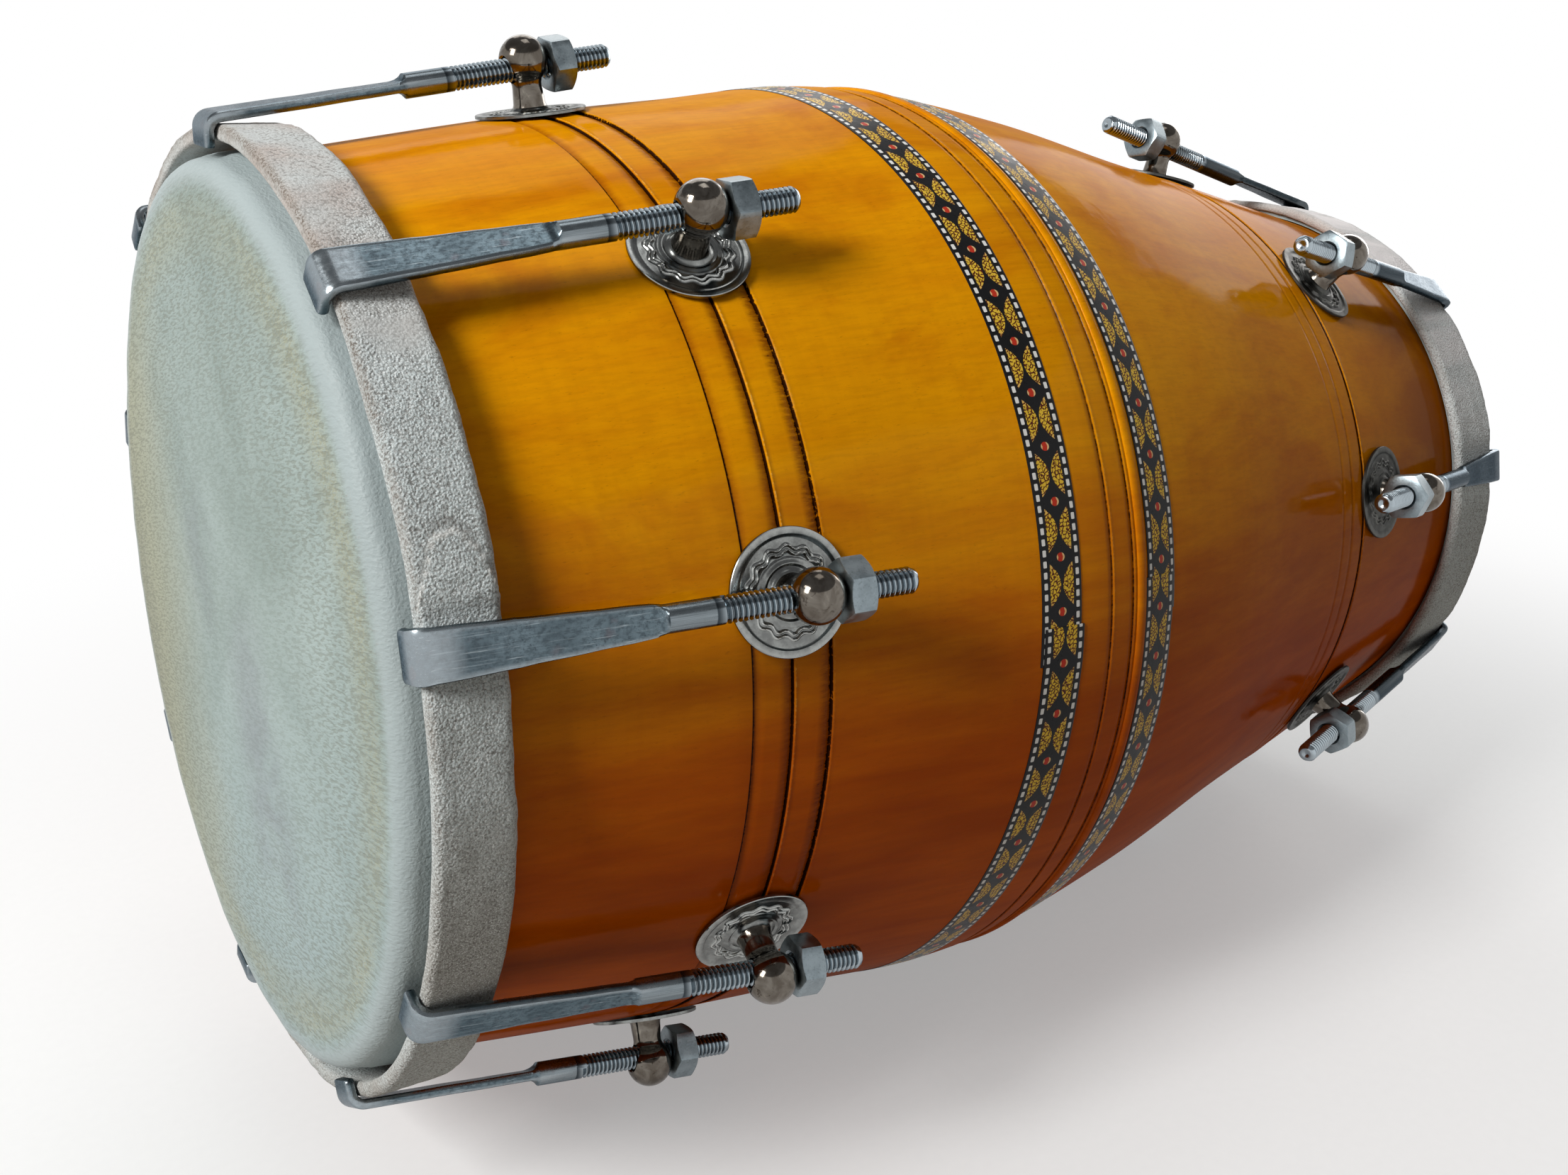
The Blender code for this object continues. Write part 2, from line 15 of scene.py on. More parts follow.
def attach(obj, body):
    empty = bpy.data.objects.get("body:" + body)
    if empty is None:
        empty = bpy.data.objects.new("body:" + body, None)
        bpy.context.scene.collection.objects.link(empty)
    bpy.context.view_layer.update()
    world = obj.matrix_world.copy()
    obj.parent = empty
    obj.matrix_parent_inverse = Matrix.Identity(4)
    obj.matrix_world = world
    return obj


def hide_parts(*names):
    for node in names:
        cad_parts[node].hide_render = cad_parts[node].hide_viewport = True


bl_info = {
    "name": "Dholak studio",
    "version": (1, 0, 0),
    "blender": (4, 5, 0),
    "location": "View3D > Sidebar > Dholak",
    "description": "Builds the visible pieces of a bolt-tuned drum and its studio",
    "category": "Object",
}

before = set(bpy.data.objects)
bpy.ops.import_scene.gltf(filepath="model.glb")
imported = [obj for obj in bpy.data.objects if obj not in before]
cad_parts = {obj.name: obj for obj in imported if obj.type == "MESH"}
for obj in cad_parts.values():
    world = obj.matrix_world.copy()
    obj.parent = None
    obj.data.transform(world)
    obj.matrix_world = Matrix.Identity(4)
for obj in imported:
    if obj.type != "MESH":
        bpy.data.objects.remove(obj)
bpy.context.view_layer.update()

MM = 0.001
FULL_TURN = 2 * math.pi

# Where the drum lies on the ground
DRUM_ORIGIN = (-0.20979, -0.000394, 0.155518)
DRUM_TILT = math.radians(4.168)
DRUM_ROLL = math.radians(-13.5)
DRUM = (Matrix.Translation(DRUM_ORIGIN) @ Matrix.Rotation(DRUM_TILT, 4, "Y")
        @ Matrix.Rotation(DRUM_ROLL, 4, "X"))

# Shell: (distance from the big edge, outer radius)
DRUM_LENGTH = 0.4217
WALL = 0.0100
EDGE_ROUND = 0.0040
TURNING = ((0.0, 0.1175), (0.0874, 0.1314), (0.1305, 0.1367), (0.1805, 0.1420),
           (0.2355, 0.1357), (0.2905, 0.1241), (0.3354, 0.1153), (0.4217, 0.0975))

# Turned lines in mm: place, slope before it, slope after it, depth, lip after it, how torn, how dark
LINES = (
    (77.4, 0.45, 2.8, 0.55, 0.00, 0.25, 0.78),
    (87.4, 3.8, 0.32, 0.85, 0.10, 0.55, 0.85),
    (97.4, 4.2, 0.38, 0.95, 0.03, 1.00, 0.92),
    (180.4, 2.4, 0.40, 0.45, 0.04, 0.30, 0.55),
    (188.6, 2.4, 0.40, 0.50, 0.03, 0.30, 0.55),
    (308.6, 1.7, 1.3, 0.22, 0.00, 0.45, 0.30),
    (315.0, 2.0, 1.4, 0.26, 0.00, 0.45, 0.36),
    (323.4, 2.4, 0.34, 0.60, 0.14, 0.45, 0.7),
)
BEAD_PLACE = 191.6
BEAD_HALF_WIDTH = 1.7
BEAD_HEIGHT = 0.8

GAP = 0.0003
SKIN_THICKNESS = 0.0015
SKIN_CORNER = 0.0052
ROD_RADIUS = 0.003175
BLADE_THICKNESS = 0.0025
BEND_INSIDE = 0.0022
LIP_PAST_RIM = 0.0014
HOOK_GAP = 0.0004
PRESSED = 0.0003
BALL_RADIUS = 0.0065
BALL_HEIGHT = 0.0140
BALL_FLATS = 0.0116
ROD_BELOW_BALL = 0.0020
NUT_FLATS = 0.0133
NUT_THICKNESS = 0.0066

CAMERA_PLACE = (-0.09618, -0.40269, 0.04475)
CAMERA_RIGHT = (0.81924, -0.56544, -0.09549)
CAMERA_UP = (0.14971, 0.05015, 0.98746)
CAMERA_FORWARD = (0.55356, 0.82326, -0.12574)


class End:
    """Places and sizes of one end of the drum."""

    def __init__(self, name, matrix, side, stations, **sizes):
        self.name = name
        self.matrix = matrix
        self.side = side
        self.stations = stations
        self.__dict__.update(sizes)

    def station(self, index):
        """Frame of a tuning station, its z pointing out from the drum."""
        turn = math.radians(self.side * (90.0 - self.stations[index]))
        return self.matrix @ Matrix.Rotation(turn, 4, "X")

    def eye_seat(self, index):
        return (self.station(index) @ Matrix.Translation((self.eye_x, 0, self.eye_radius))
                @ Matrix.Rotation(-self.eye_tilt, 4, "Y"))

    def rod_axis(self, index):
        return (self.station(index) @ Matrix.Translation((self.cross_x, 0, self.cross_r))
                @ Matrix.Rotation(-self.rod_tilt, 4, "Y"))

    def shell_radius(self, x):
        return shell_radius(x if self.side > 0 else DRUM_LENGTH - x)


BIG = End("big", DRUM, 1,
          (-40.3, -74.0, -118.0, -160.0, -206.5, -242.7, -282.8, -321.8, -359.1),
          edge_radius=0.1175, eye_x=0.0874, eye_radius=0.1314, eye_tilt=0.1421206,
          grip=0.0106312, cross_x=0.0857003, cross_r=0.143279, rod_tilt=0.173056,
          blade_reach=0.0829331, tip_reach=0.0253, forged=0.0345,
          rim_radius=0.1274, rim_width=0.0180, rim_x=0.0027, rim_flare=0.0005,
          rim_thickness=0.0043)
SMALL = End("small", DRUM @ Matrix.Translation((DRUM_LENGTH, 0, 0)) @ Matrix.Rotation(math.pi, 4, "Z"),
            -1, (-40.9, -86.5, -120.5, -160.0, -200.0, -240.0, -284.2, -324.8, -361.8),
            edge_radius=0.0975, eye_x=0.0863, eye_radius=0.1153, eye_tilt=0.1978847,
            grip=0.0103104, cross_x=0.0839409, cross_r=0.1270658, rod_tilt=0.2441065,
            blade_reach=0.084067, tip_reach=0.0305, forged=0.0440,
            rim_radius=0.1052, rim_width=0.0250, rim_x=0.0013, rim_flare=0.0024,
            rim_thickness=0.0036)
ENDS = (BIG, SMALL)
STATION_COUNT = len(BIG.stations)


class DHOLAK_PG_sizes(bpy.types.PropertyGroup):
    """Lengths of the visible detail"""
    crown: bpy.props.FloatProperty(
        name="Skin crown", description="How far the middle of each head stands proud",
        default=0.0009, unit="LENGTH", precision=5)
    nap_depth: bpy.props.FloatProperty(
        name="Suede relief", description="Height of the wrinkles in the rims' leather",
        default=0.00030, unit="LENGTH", precision=5)
    rim_waver: bpy.props.FloatProperty(
        name="Rim waver", description="How far the rims' edges wander",
        default=0.0006, unit="LENGTH", precision=5)
    thread_pitch: bpy.props.FloatProperty(
        name="Thread pitch", description="Distance between two turns of the thread",
        default=0.00127, unit="LENGTH", precision=5)
    thread_depth: bpy.props.FloatProperty(
        name="Thread depth", description="From crest to root of the thread",
        default=0.00070, unit="LENGTH", precision=5)
    thread_from_eye: bpy.props.FloatProperty(
        name="Thread before the eye", description="Length of thread on the rim's side of the eye",
        default=0.0228, unit="LENGTH", precision=4)
    tape_thickness: bpy.props.FloatProperty(
        name="Tape thickness", description="Thickness of the ornament bands",
        default=0.00018, unit="LENGTH", precision=5)
    pattern_length: bpy.props.FloatProperty(
        name="Pattern length", description="Length of one repeat of the ornament",
        default=0.01385, unit="LENGTH", precision=5)


def colour_property(name, description, colour):
    return bpy.props.FloatVectorProperty(name=name, description=description, default=colour,
                                         subtype="COLOR", size=3, min=0.0, max=1.0)


class DHOLAK_PG_colours(bpy.types.PropertyGroup):
    """Colours of the finishes"""
    wood: colour_property("Wood", "Amber varnished wood", (0.80, 0.325, 0.001))
    wood_deep: colour_property("Wood, deep", "Darker grain of the wood", (0.66, 0.205, 0.001))
    # Colour of the turned lines' roots: partly dirt, partly painted shade
    groove_dirt_and_shade: colour_property("Grooves", "Varnish and dirt in the turned lines", (0.020, 0.005, 0.001))
    skin: colour_property("Skin", "Bare stretched hide", (0.240, 0.305, 0.285))
    skin_tan: colour_property("Skin stains", "Tan stains near the edge", (0.31, 0.31, 0.20))
    suede: colour_property("Suede", "Napped leather of the rims", (0.66, 0.74, 0.75))
    # Painted shade for the suede's hollows and the gaps between its grains
    suede_shade: colour_property("Suede, dark", "Rubbed places of the leather", (0.15, 0.135, 0.12))
    steel: colour_property("Forged steel", "Dull zinc over forged steel", (0.088, 0.119, 0.137))
    zinc: colour_property("Zinc", "Bright plated thread and nuts", (0.40, 0.455, 0.49))
    nickel: colour_property("Nickel", "Tarnished plate of the eye bolts", (0.175, 0.157, 0.135))
    tape: colour_property("Tape ground", "Ground of the ornament bands", (0.010, 0.010, 0.011))
    leaf: colour_property("Leaves", "Leaves of the ornament", (0.76, 0.50, 0.045))
    dot: colour_property("Dots", "Red dots of the ornament", (0.50, 0.035, 0.015))


def sizes():
    return bpy.context.scene.dholak_sizes


def colours():
    return bpy.context.scene.dholak_colours


class Finish:
    """A material and short ways to add to its nodes."""

    def __init__(self, name, settled=False, **shader):
        self.material = bpy.data.materials.new(name)
        self.material.use_nodes = True
        self.nodes = self.material.node_tree.nodes
        self.links = self.material.node_tree.links
        self.shader = self.nodes["Principled BSDF"]
        for socket, value in shader.items():
            self.shader.inputs[socket.replace("_", " ")].default_value = value
        self.place = self.nodes.new("ShaderNodeTexCoord").outputs["Object"]
        if settled:
            self.place = self.add("Attribute", {}, output="Vector", attribute_name="own_place")

    def put(self, socket, value):
        if isinstance(value, bpy.types.NodeSocket):
            self.links.new(value, socket)
        elif hasattr(value, "__len__") and len(value) == 3 and socket.type == "RGBA":
            socket.default_value = (*value, 1.0)
        else:
            socket.default_value = value

    def add(self, kind, inputs, output=0, **settings):
        node = self.nodes.new("ShaderNode" + kind)
        for key, value in settings.items():
            setattr(node, key, value)
        for key, value in inputs.items():
            self.put(node.inputs[key], value)
        return node.outputs[output]

    def math(self, operation, a, b=0.0, c=0.0):
        return self.add("Math", {0: a, 1: b, 2: c}, operation=operation)

    def stretched(self, scale, vector=None):
        return self.add("Mapping", {"Vector": vector or self.place, "Scale": scale})

    def noise(self, scale, vector=None, detail=4.0, roughness=0.5, distortion=0.0):
        return self.add("TexNoise", {"Vector": vector or self.place, "Scale": scale, "Detail": detail,
                                     "Roughness": roughness, "Distortion": distortion})

    def span(self, value, low, high, new_low=0.0, new_high=1.0):
        """Maps a range to another one, smoothly and clamped."""
        return self.add("MapRange", {"Value": value, "From Min": low, "From Max": high,
                                     "To Min": new_low, "To Max": new_high},
                        interpolation_type="SMOOTHSTEP")

    def mix(self, factor, a, b, blend="MIX"):
        node = self.nodes.new("ShaderNodeMix")
        node.data_type = "RGBA"
        node.blend_type = blend
        self.put(node.inputs[0], factor)
        self.put(node.inputs[6], a)
        self.put(node.inputs[7], b)
        return node.outputs[2]

    def mark(self, name):
        return self.add("Attribute", {}, output="Fac", attribute_name=name)

    def bump(self, height, distance, strength=1.0, normal=None):
        inputs = {"Height": height, "Distance": distance, "Strength": strength}
        if normal is not None:
            inputs["Normal"] = normal
        return self.add("Bump", inputs)

    def set(self, **values):
        for socket, value in values.items():
            self.put(self.shader.inputs[socket.replace("_", " ")], value)
        return self.material


def smooth(t):
    t = min(max(t, 0.0), 1.0)
    return t * t * (3 - 2 * t)


def shell_radius(x):
    """Smooth outer radius: a cubic through the turning stations."""
    x = min(max(x, 0.0), DRUM_LENGTH)
    last = len(TURNING) - 2
    k = next((i for i in range(last + 1) if x <= TURNING[i + 1][0]), last)

    def slope(i):
        low, high = TURNING[max(i - 1, 0)], TURNING[min(i + 1, len(TURNING) - 1)]
        return (high[1] - low[1]) / (high[0] - low[0])

    (x0, r0), (x1, r1) = TURNING[k], TURNING[k + 1]
    span = x1 - x0
    t = (x - x0) / span
    return (r0 * (2 * t**3 - 3 * t**2 + 1) + r1 * (3 * t**2 - 2 * t**3)
            + slope(k) * span * (t**3 - 2 * t**2 + t) + slope(k + 1) * span * (t**3 - t**2))


def grid_mesh(name, points, around=True, ring=False, capped=False, marks=None):
    """A mesh of quads over rows of points. The rows close round, and the last meets the first."""
    points = np.asarray(points, dtype=float)
    rows, columns = points.shape[:2]
    index = np.arange(rows * columns).reshape(rows, columns)
    if around:
        index = np.concatenate([index, index[:, :1]], axis=1)
    if ring:
        index = np.concatenate([index, index[:1]], axis=0)
    quads = np.stack([index[:-1, :-1], index[:-1, 1:], index[1:, 1:], index[1:, :-1]], axis=-1)
    faces = quads.reshape(-1, 4).tolist()
    if capped:
        faces.append(list(range(columns))[::-1])
        faces.append([(rows - 1) * columns + k for k in range(columns)])
    return mesh_from(name, points.reshape(-1, 3), faces, marks)


def mesh_from(name, points, faces, marks=None, sharp=35.0):
    mesh = bpy.data.meshes.new(name)
    mesh.from_pydata([tuple(p) for p in points], [], faces)
    for label, values in (marks or {}).items():
        layer = mesh.attributes.new(label, "FLOAT", "POINT")
        layer.data.foreach_set("value", np.asarray(values, dtype=np.float32).ravel())
    bm = bmesh.new()
    bm.from_mesh(mesh)
    bmesh.ops.recalc_face_normals(bm, faces=bm.faces)
    bm.to_mesh(mesh)
    bm.free()
    mesh.shade_smooth()
    mesh.set_sharp_from_angle(angle=math.radians(sharp))
    return mesh


def lathe_rows(outline, segments, waver=None):
    """Rings of points round the x axis; waver(row, x, radius, angle) gives a shifted (x, radius)."""
    rows = []
    for row, (x, radius) in enumerate(outline):
        ring = []
        for i in range(segments):
            angle = FULL_TURN * i / segments
            px, pr = waver(row, x, radius, angle) if waver else (x, radius)
            ring.append((px, -pr * math.cos(angle), pr * math.sin(angle)))
        rows.append(ring)
    return rows


def arc(centre_x, centre_r, radius, start_deg, end_deg, steps):
    points = []
    for i in range(steps + 1):
        angle = math.radians(start_deg + (end_deg - start_deg) * i / steps)
        points.append((centre_x + radius * math.cos(angle), centre_r + radius * math.sin(angle)))
    return points


def settle(mesh, matrix):
    """Moves a mesh to its place in the world. Its points keep their own places as an attribute."""
    own = np.empty(3 * len(mesh.vertices), dtype=np.float32)
    mesh.vertices.foreach_get("co", own)
    mesh.attributes.new("own_place", "FLOAT_VECTOR", "POINT").data.foreach_set("vector", own)
    mesh.transform(matrix)
    return Matrix.Identity(4)


def place(name, mesh, matrix, body, material, node=None):
    """Stands a piece in the scene and tells which body carries it and which solid it replaces."""
    piece = bpy.data.objects.new(name, mesh)
    bpy.context.collection.objects.link(piece)
    if material and material.name not in mesh.materials:
        mesh.materials.append(material)
    piece.matrix_world = matrix
    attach(piece, body)
    if node:
        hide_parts(node)
    return piece


def wood_finish():
    """Amber varnish over fine straight-grained wood, torn in the turned lines; painted shade on the lower side
    and towards the small rim, dirt and painted shade on the lines' slopes and roots, painted highlights on
    their arrises.
    """
    c = colours()
    f = Finish("varnished_wood", settled=True, Coat_Weight=0.11, Coat_Roughness=0.09, Coat_IOR=1.40,
               Specular_IOR_Level=0.0)
    broad = f.noise(9.0, f.stretched((0.45, 1.0, 1.0)), detail=3.0, distortion=0.6)
    streak = f.noise(150.0, f.stretched((0.030, 1.0, 1.0)), detail=5.0, roughness=0.55, distortion=0.3)
    tone = f.math("ADD", f.math("MULTIPLY", streak, 0.40), f.math("MULTIPLY", broad, 0.60))
    colour = f.mix(f.span(tone, 0.28, 0.64), c.wood_deep, c.wood)
    smear = f.noise(26.0, f.stretched((0.5, 1.0, 1.0)), detail=5.0, roughness=0.62, distortion=0.8)
    colour = f.mix(f.span(smear, 0.45, 0.68, 0.0, 0.55), colour, (0.50, 0.120, 0.001))
    parts = f.nodes.new("ShaderNodeSeparateXYZ")
    f.put(parts.inputs[0], f.place)
    colour = f.mix(f.span(parts.outputs["X"], 0.20, 0.36, 0.0, 0.40), colour, (0.62, 0.165, 0.001))
    # Painted shade: the wood is painted darker in patches towards the small rim
    small_rim_shade = f.math("MULTIPLY", f.span(parts.outputs["X"], 0.318, 0.395), f.span(smear, 0.30, 0.56, 0.35, 0.80))
    colour = f.mix(small_rim_shade, colour, (0.26, 0.055, 0.001))
    # Faint bands across the grain, as a scraper leaves them
    rings = f.noise(330.0, f.stretched((1.0, 0.04, 0.04)), detail=3.0)
    colour = f.mix(f.span(rings, 0.35, 0.62, 0.06, 0.0), colour, (0.30, 0.085, 0.001))
    # Painted shade: the lower side is painted darker and redder
    deep = f.span(f.math("ADD", parts.outputs["Z"], f.math("MULTIPLY", tone, 0.05)), 0.058, -0.040)
    colour = f.mix(f.math("MULTIPLY", deep, 0.92), colour, f.mix(f.span(tone, 0.30, 0.62),
                   (0.38, 0.050, 0.0004), (0.58, 0.094, 0.0004)))
    dashes = f.noise(2600.0, f.stretched((0.16, 1.0, 1.0)), detail=2.0, roughness=0.6)
    fine = f.noise(900.0, f.stretched((0.05, 1.0, 1.0)), detail=4.0, roughness=0.6)
    colour = f.mix(f.span(fine, 0.32, 0.60, 0.14, 0.0), colour, (0.30, 0.075, 0.001))
    colour = f.mix(f.span(dashes, 0.62, 0.76, 0.0, 0.26), colour, (0.20, 0.040, 0.001))
    # A pin hole or a chip in a few cells only
    cells = f.nodes.new("ShaderNodeTexVoronoi")
    f.put(cells.inputs["Vector"], f.stretched((0.6, 1.0, 1.0)))
    f.put(cells.inputs["Scale"], 70.0)
    pick = f.nodes.new("ShaderNodeSeparateColor")
    f.put(pick.inputs[0], cells.outputs["Color"])
    spot = f.span(cells.outputs["Distance"], 0.020, 0.042, 1.0, 0.0)
    hole = f.math("MULTIPLY", spot, f.span(pick.outputs[0], 0.86, 0.88, 0.0, 0.9))
    chip = f.math("MULTIPLY", spot, f.span(pick.outputs[1], 0.95, 0.96, 0.0, 0.7))
    colour = f.mix(hole, colour, (0.035, 0.010, 0.003))
    colour = f.mix(f.math("MULTIPLY", chip, f.span(fine, 0.45, 0.50)), colour, (0.75, 0.55, 0.28))
    # The turned lines: slopes darkened by dirt and painted shade, torn fibres that point along the drum, a root
    # dark with dirt and painted shade, a painted highlight on the arris
    tear = f.noise(1150.0, f.stretched((0.20, 1.0, 1.0)), detail=3.0, roughness=0.65)
    grit = f.noise(1100.0, detail=2.0, roughness=0.6)
    line, slope = f.mark("line"), f.mark("slope")
    torn = f.math("MULTIPLY", f.mark("torn"), f.math("MULTIPLY", f.math("SUBTRACT", tear, 0.5), 3.2))
    # Dirt and painted shade on the slopes
    stain = f.span(f.math("ADD", slope, f.math("MULTIPLY", torn, slope)), 0.0, 0.80)
    colour = f.mix(f.math("MULTIPLY", stain, 0.70), colour, (0.22, 0.042, 0.001))
    ragged = f.math("ADD", line, f.math("MULTIPLY", torn, 0.8))
    # Dirt and painted shade in the root
    root = f.math("MULTIPLY", f.span(ragged, 0.30, 0.62), f.span(slope, 0.25, 0.5))
    colour = f.mix(root, colour, c.groove_dirt_and_shade)
    # Painted highlight along the arris, dimmer over the lower side's painted shade
    arris = f.math("MULTIPLY", f.mark("lip"), f.span(grit, 0.48, 0.60))
    arris = f.math("MULTIPLY", arris, f.span(deep, 0.0, 1.0, 0.8, 0.15))
    colour = f.mix(arris, colour, (0.86, 0.50, 0.10))
    height = f.math("ADD", f.math("MULTIPLY", fine, 0.7), f.math("MULTIPLY", dashes, -0.5))
    height = f.math("ADD", height, f.math("MULTIPLY", rings, 0.5))
    rough = f.math("MULTIPLY", f.math("MULTIPLY", tear, slope), f.math("MULTIPLY", f.mark("torn"), 7.0))
    height = f.math("ADD", height, rough)
    height = f.math("ADD", height, f.math("MULTIPLY", spot, f.math("MULTIPLY", hole, -6.0)))
    normal = f.bump(height, 0.00006, 0.8)
    waves = f.math("ADD", f.noise(120.0, detail=2.0), f.math("MULTIPLY", height, 0.22))
    return f.set(Base_Color=colour, Roughness=f.span(streak, 0.2, 0.8, 0.42, 0.55), Normal=normal,
                 Coat_Normal=f.bump(waves, 0.00010, 0.8))


def skin_finish():
    """Pale hide with fine creped ripples, tan at the far side and darkened there by painted shade, and
    yellowish inside the edge.
    """
    c = colours()
    f = Finish("stretched_hide", settled=True, Specular_IOR_Level=0.30)
    ripple = f.noise(1350.0, f.stretched((1.0, 0.22, 1.0)), detail=1.5, roughness=0.5, distortion=0.25)
    pores = f.noise(1900.0, f.stretched((1.0, 0.5, 1.0)), detail=3.0, roughness=0.6)
    cloud = f.noise(12.0, detail=5.0, roughness=0.6, distortion=0.7)
    patch = f.noise(30.0, detail=4.0, distortion=0.5)
    parts = f.nodes.new("ShaderNodeSeparateXYZ")
    f.put(parts.inputs[0], f.place)
    y, z = parts.outputs["Y"], parts.outputs["Z"]
    edge = f.mark("edge")
    colour = f.mix(f.span(cloud, 0.32, 0.68), c.skin, (0.345, 0.425, 0.41))
    colour = f.mix(f.span(z, 0.02, -0.09, 0.0, 0.6), colour, (0.31, 0.41, 0.43))
    far_side = f.span(f.math("ADD", y, f.math("MULTIPLY", cloud, 0.05)), 0.045, 0.125, 0.0, 0.80)
    ring = f.math("MULTIPLY", f.span(edge, 0.76, 0.88), f.span(edge, 0.89, 0.955, 1.0, 0.0))
    ring = f.math("MULTIPLY", ring, f.span(cloud, 0.34, 0.56, 0.32, 0.72))
    dots = f.span(pores, 0.44, 0.56, 1.0, 0.40)
    tan = f.math("MAXIMUM", far_side, f.math("MULTIPLY", ring, dots))
    colour = f.mix(tan, colour, c.skin_tan)
    # Painted shade: darker olive along the far side
    colour = f.mix(f.span(y, 0.085, 0.118, 0.0, 0.55), colour, (0.17, 0.17, 0.12))
    for place_y, place_z, squash, low, high, weight in ((-0.012, -0.040, 0.42, 0.006, 0.030, 0.40),
                                                        (0.022, 0.018, 0.60, 0.004, 0.026, 0.22)):
        away_y = f.math("SUBTRACT", y, place_y)
        away_z = f.math("MULTIPLY", f.math("SUBTRACT", z, place_z), squash)
        away = f.math("SQRT", f.math("ADD", f.math("MULTIPLY", away_y, away_y),
                                     f.math("MULTIPLY", away_z, away_z)))
        smudge = f.math("MULTIPLY", f.span(away, low, high, 1.0, 0.0), f.span(patch, 0.34, 0.62))
        colour = f.mix(f.math("MULTIPLY", smudge, weight), colour, (0.16, 0.16, 0.20))
    # Small brown specks where the hide was folded over the edge
    specks = f.math("MULTIPLY", f.span(pores, 0.58, 0.68), f.span(edge, 0.88, 0.97))
    specks = f.math("MULTIPLY", specks, f.span(patch, 0.46, 0.62, 0.0, 0.7))
    colour = f.mix(specks, colour, (0.25, 0.15, 0.08))
    # The crepe fades out on the smooth shoulder
    creped = f.span(edge, 0.92, 0.975, 1.0, 0.55)
    calm = f.math("MULTIPLY", creped, f.span(edge, 0.25, 0.80, 0.35, 1.0))
    colour = f.mix(f.math("MULTIPLY", f.span(ripple, 0.40, 0.54, 0.48, 0.0), calm), colour,
                   (0.19, 0.205, 0.165))
    colour = f.mix(f.math("MULTIPLY", f.span(pores, 0.58, 0.74, 0.0, 0.22), creped), colour,
                   (0.22, 0.22, 0.17))
    colour = f.mix(f.span(edge, 0.925, 0.975, 0.0, 0.90), colour, (0.365, 0.425, 0.435))
    height = f.math("ADD", ripple, f.math("MULTIPLY", pores, 0.30))
    height = f.math("MULTIPLY", height, calm)
    return f.set(Base_Color=colour, Roughness=f.span(ripple, 0.3, 0.7, 0.62, 0.48),
                 Normal=f.bump(height, 0.00038, 1.0))


def suede_finish():
    """Napped leather: pale and smooth above, the small rim's upper side painted paler as painted light,
    crumbled lower down with patchy painted shade there and in the grain's hollows, brown along the front.
    """
    c = colours()
    f = Finish("wrapped_suede", settled=True, Specular_IOR_Level=0.15, Sheen_Weight=0.12, Sheen_Roughness=0.6)
    crumb = f.noise(1850.0, detail=4.0, roughness=0.66)
    fibre = f.noise(3000.0, detail=2.0, roughness=0.6)
    apart = f.add("TexVoronoi", {"Vector": f.place, "Scale": 1750.0}, feature="SMOOTH_F1")
    cloud = f.noise(38.0, detail=4.0, roughness=0.6, distortion=0.6)
    tint = f.noise(21.0, detail=3.0, roughness=0.5)
    parts = f.nodes.new("ShaderNodeSeparateXYZ")
    f.put(parts.inputs[0], f.place)
    upper = f.span(f.math("ADD", parts.outputs["Z"], f.math("MULTIPLY", tint, 0.06)), 0.085, 0.145)
    streaky = f.noise(60.0, f.stretched((0.25, 1.0, 1.0)), detail=4.0, roughness=0.6, distortion=0.5)
    lower = f.span(parts.outputs["Z"], 0.020, -0.115)
    worn = f.span(f.math("SUBTRACT", cloud, f.math("MULTIPLY", upper, 0.45)), 0.22, 0.42)
    colour = f.mix(worn, (0.59, 0.635, 0.635), c.suede)
    pink = f.math("MULTIPLY", f.span(f.math("ADD", tint, f.math("MULTIPLY", streaky, 0.5)), 0.62, 0.86, 0.10, 0.80), upper)
    colour = f.mix(pink, colour, (0.46, 0.335, 0.28))
    # Painted shade: the lower part is painted darker in patches
    dirt = f.math("MULTIPLY", lower, f.span(tint, 0.38, 0.60, 0.20, 0.80))
    colour = f.mix(dirt, colour, (0.34, 0.31, 0.265))
    # Painted shade in the grain's hollows and between the grains
    hollow = f.math("MULTIPLY", f.span(crumb, 0.41, 0.50, 1.0, 0.0), f.span(worn, 0.0, 1.0, 0.20, 0.60))
    colour = f.mix(hollow, colour, c.suede_shade)
    between = f.math("MULTIPLY", f.span(apart, 0.42, 0.62), f.span(cloud, 0.35, 0.6, 0.25, 0.60))
    colour = f.mix(between, colour, c.suede_shade)
    nap = f.math("MULTIPLY", f.span(fibre, 0.52, 0.64, 0.0, 0.85), f.span(worn, 0.0, 1.0, 0.4, 1.0))
    colour = f.mix(nap, colour, (0.86, 0.90, 0.90))
    # Painted light: the small rim's upper side is painted paler
    pale = f.math("MULTIPLY", f.mark("pale"), f.span(streaky, 0.36, 0.60, 0.35, 1.0))
    pale = f.math("MULTIPLY", pale, f.span(f.mark("edge"), 0.0, 1.0, 1.0, 0.35))
    colour = f.mix(pale, colour, (0.95, 0.91, 0.91))
    edge = f.math("MULTIPLY", f.mark("edge"), f.span(cloud, 0.35, 0.62, 0.05, 0.45))
    colour = f.mix(edge, colour, (0.42, 0.395, 0.365))
    frayed = f.math("MULTIPLY", f.mark("front"), f.span(crumb, 0.40, 0.58, 0.85, 0.25))
    colour = f.mix(frayed, colour, (0.13, 0.10, 0.075))
    colour = f.mix(f.math("MULTIPLY", f.mark("seam"), 0.8), colour, (0.74, 0.74, 0.71))
    colour = f.mix(f.math("MULTIPLY", f.mark("under"), 0.5), colour, (0.17, 0.155, 0.14))
    height = f.math("ADD", f.math("MULTIPLY", crumb, 0.7), f.math("MULTIPLY", apart, -0.9))
    height = f.math("MULTIPLY", height, f.span(worn, 0.0, 1.0, 0.35, 1.0))
    height = f.math("MULTIPLY", height, f.span(f.mark("edge"), 0.0, 1.0, 0.65, 1.0))
    return f.set(Base_Color=colour, Roughness=0.95, Normal=f.bump(height, 0.00058, 1.0))


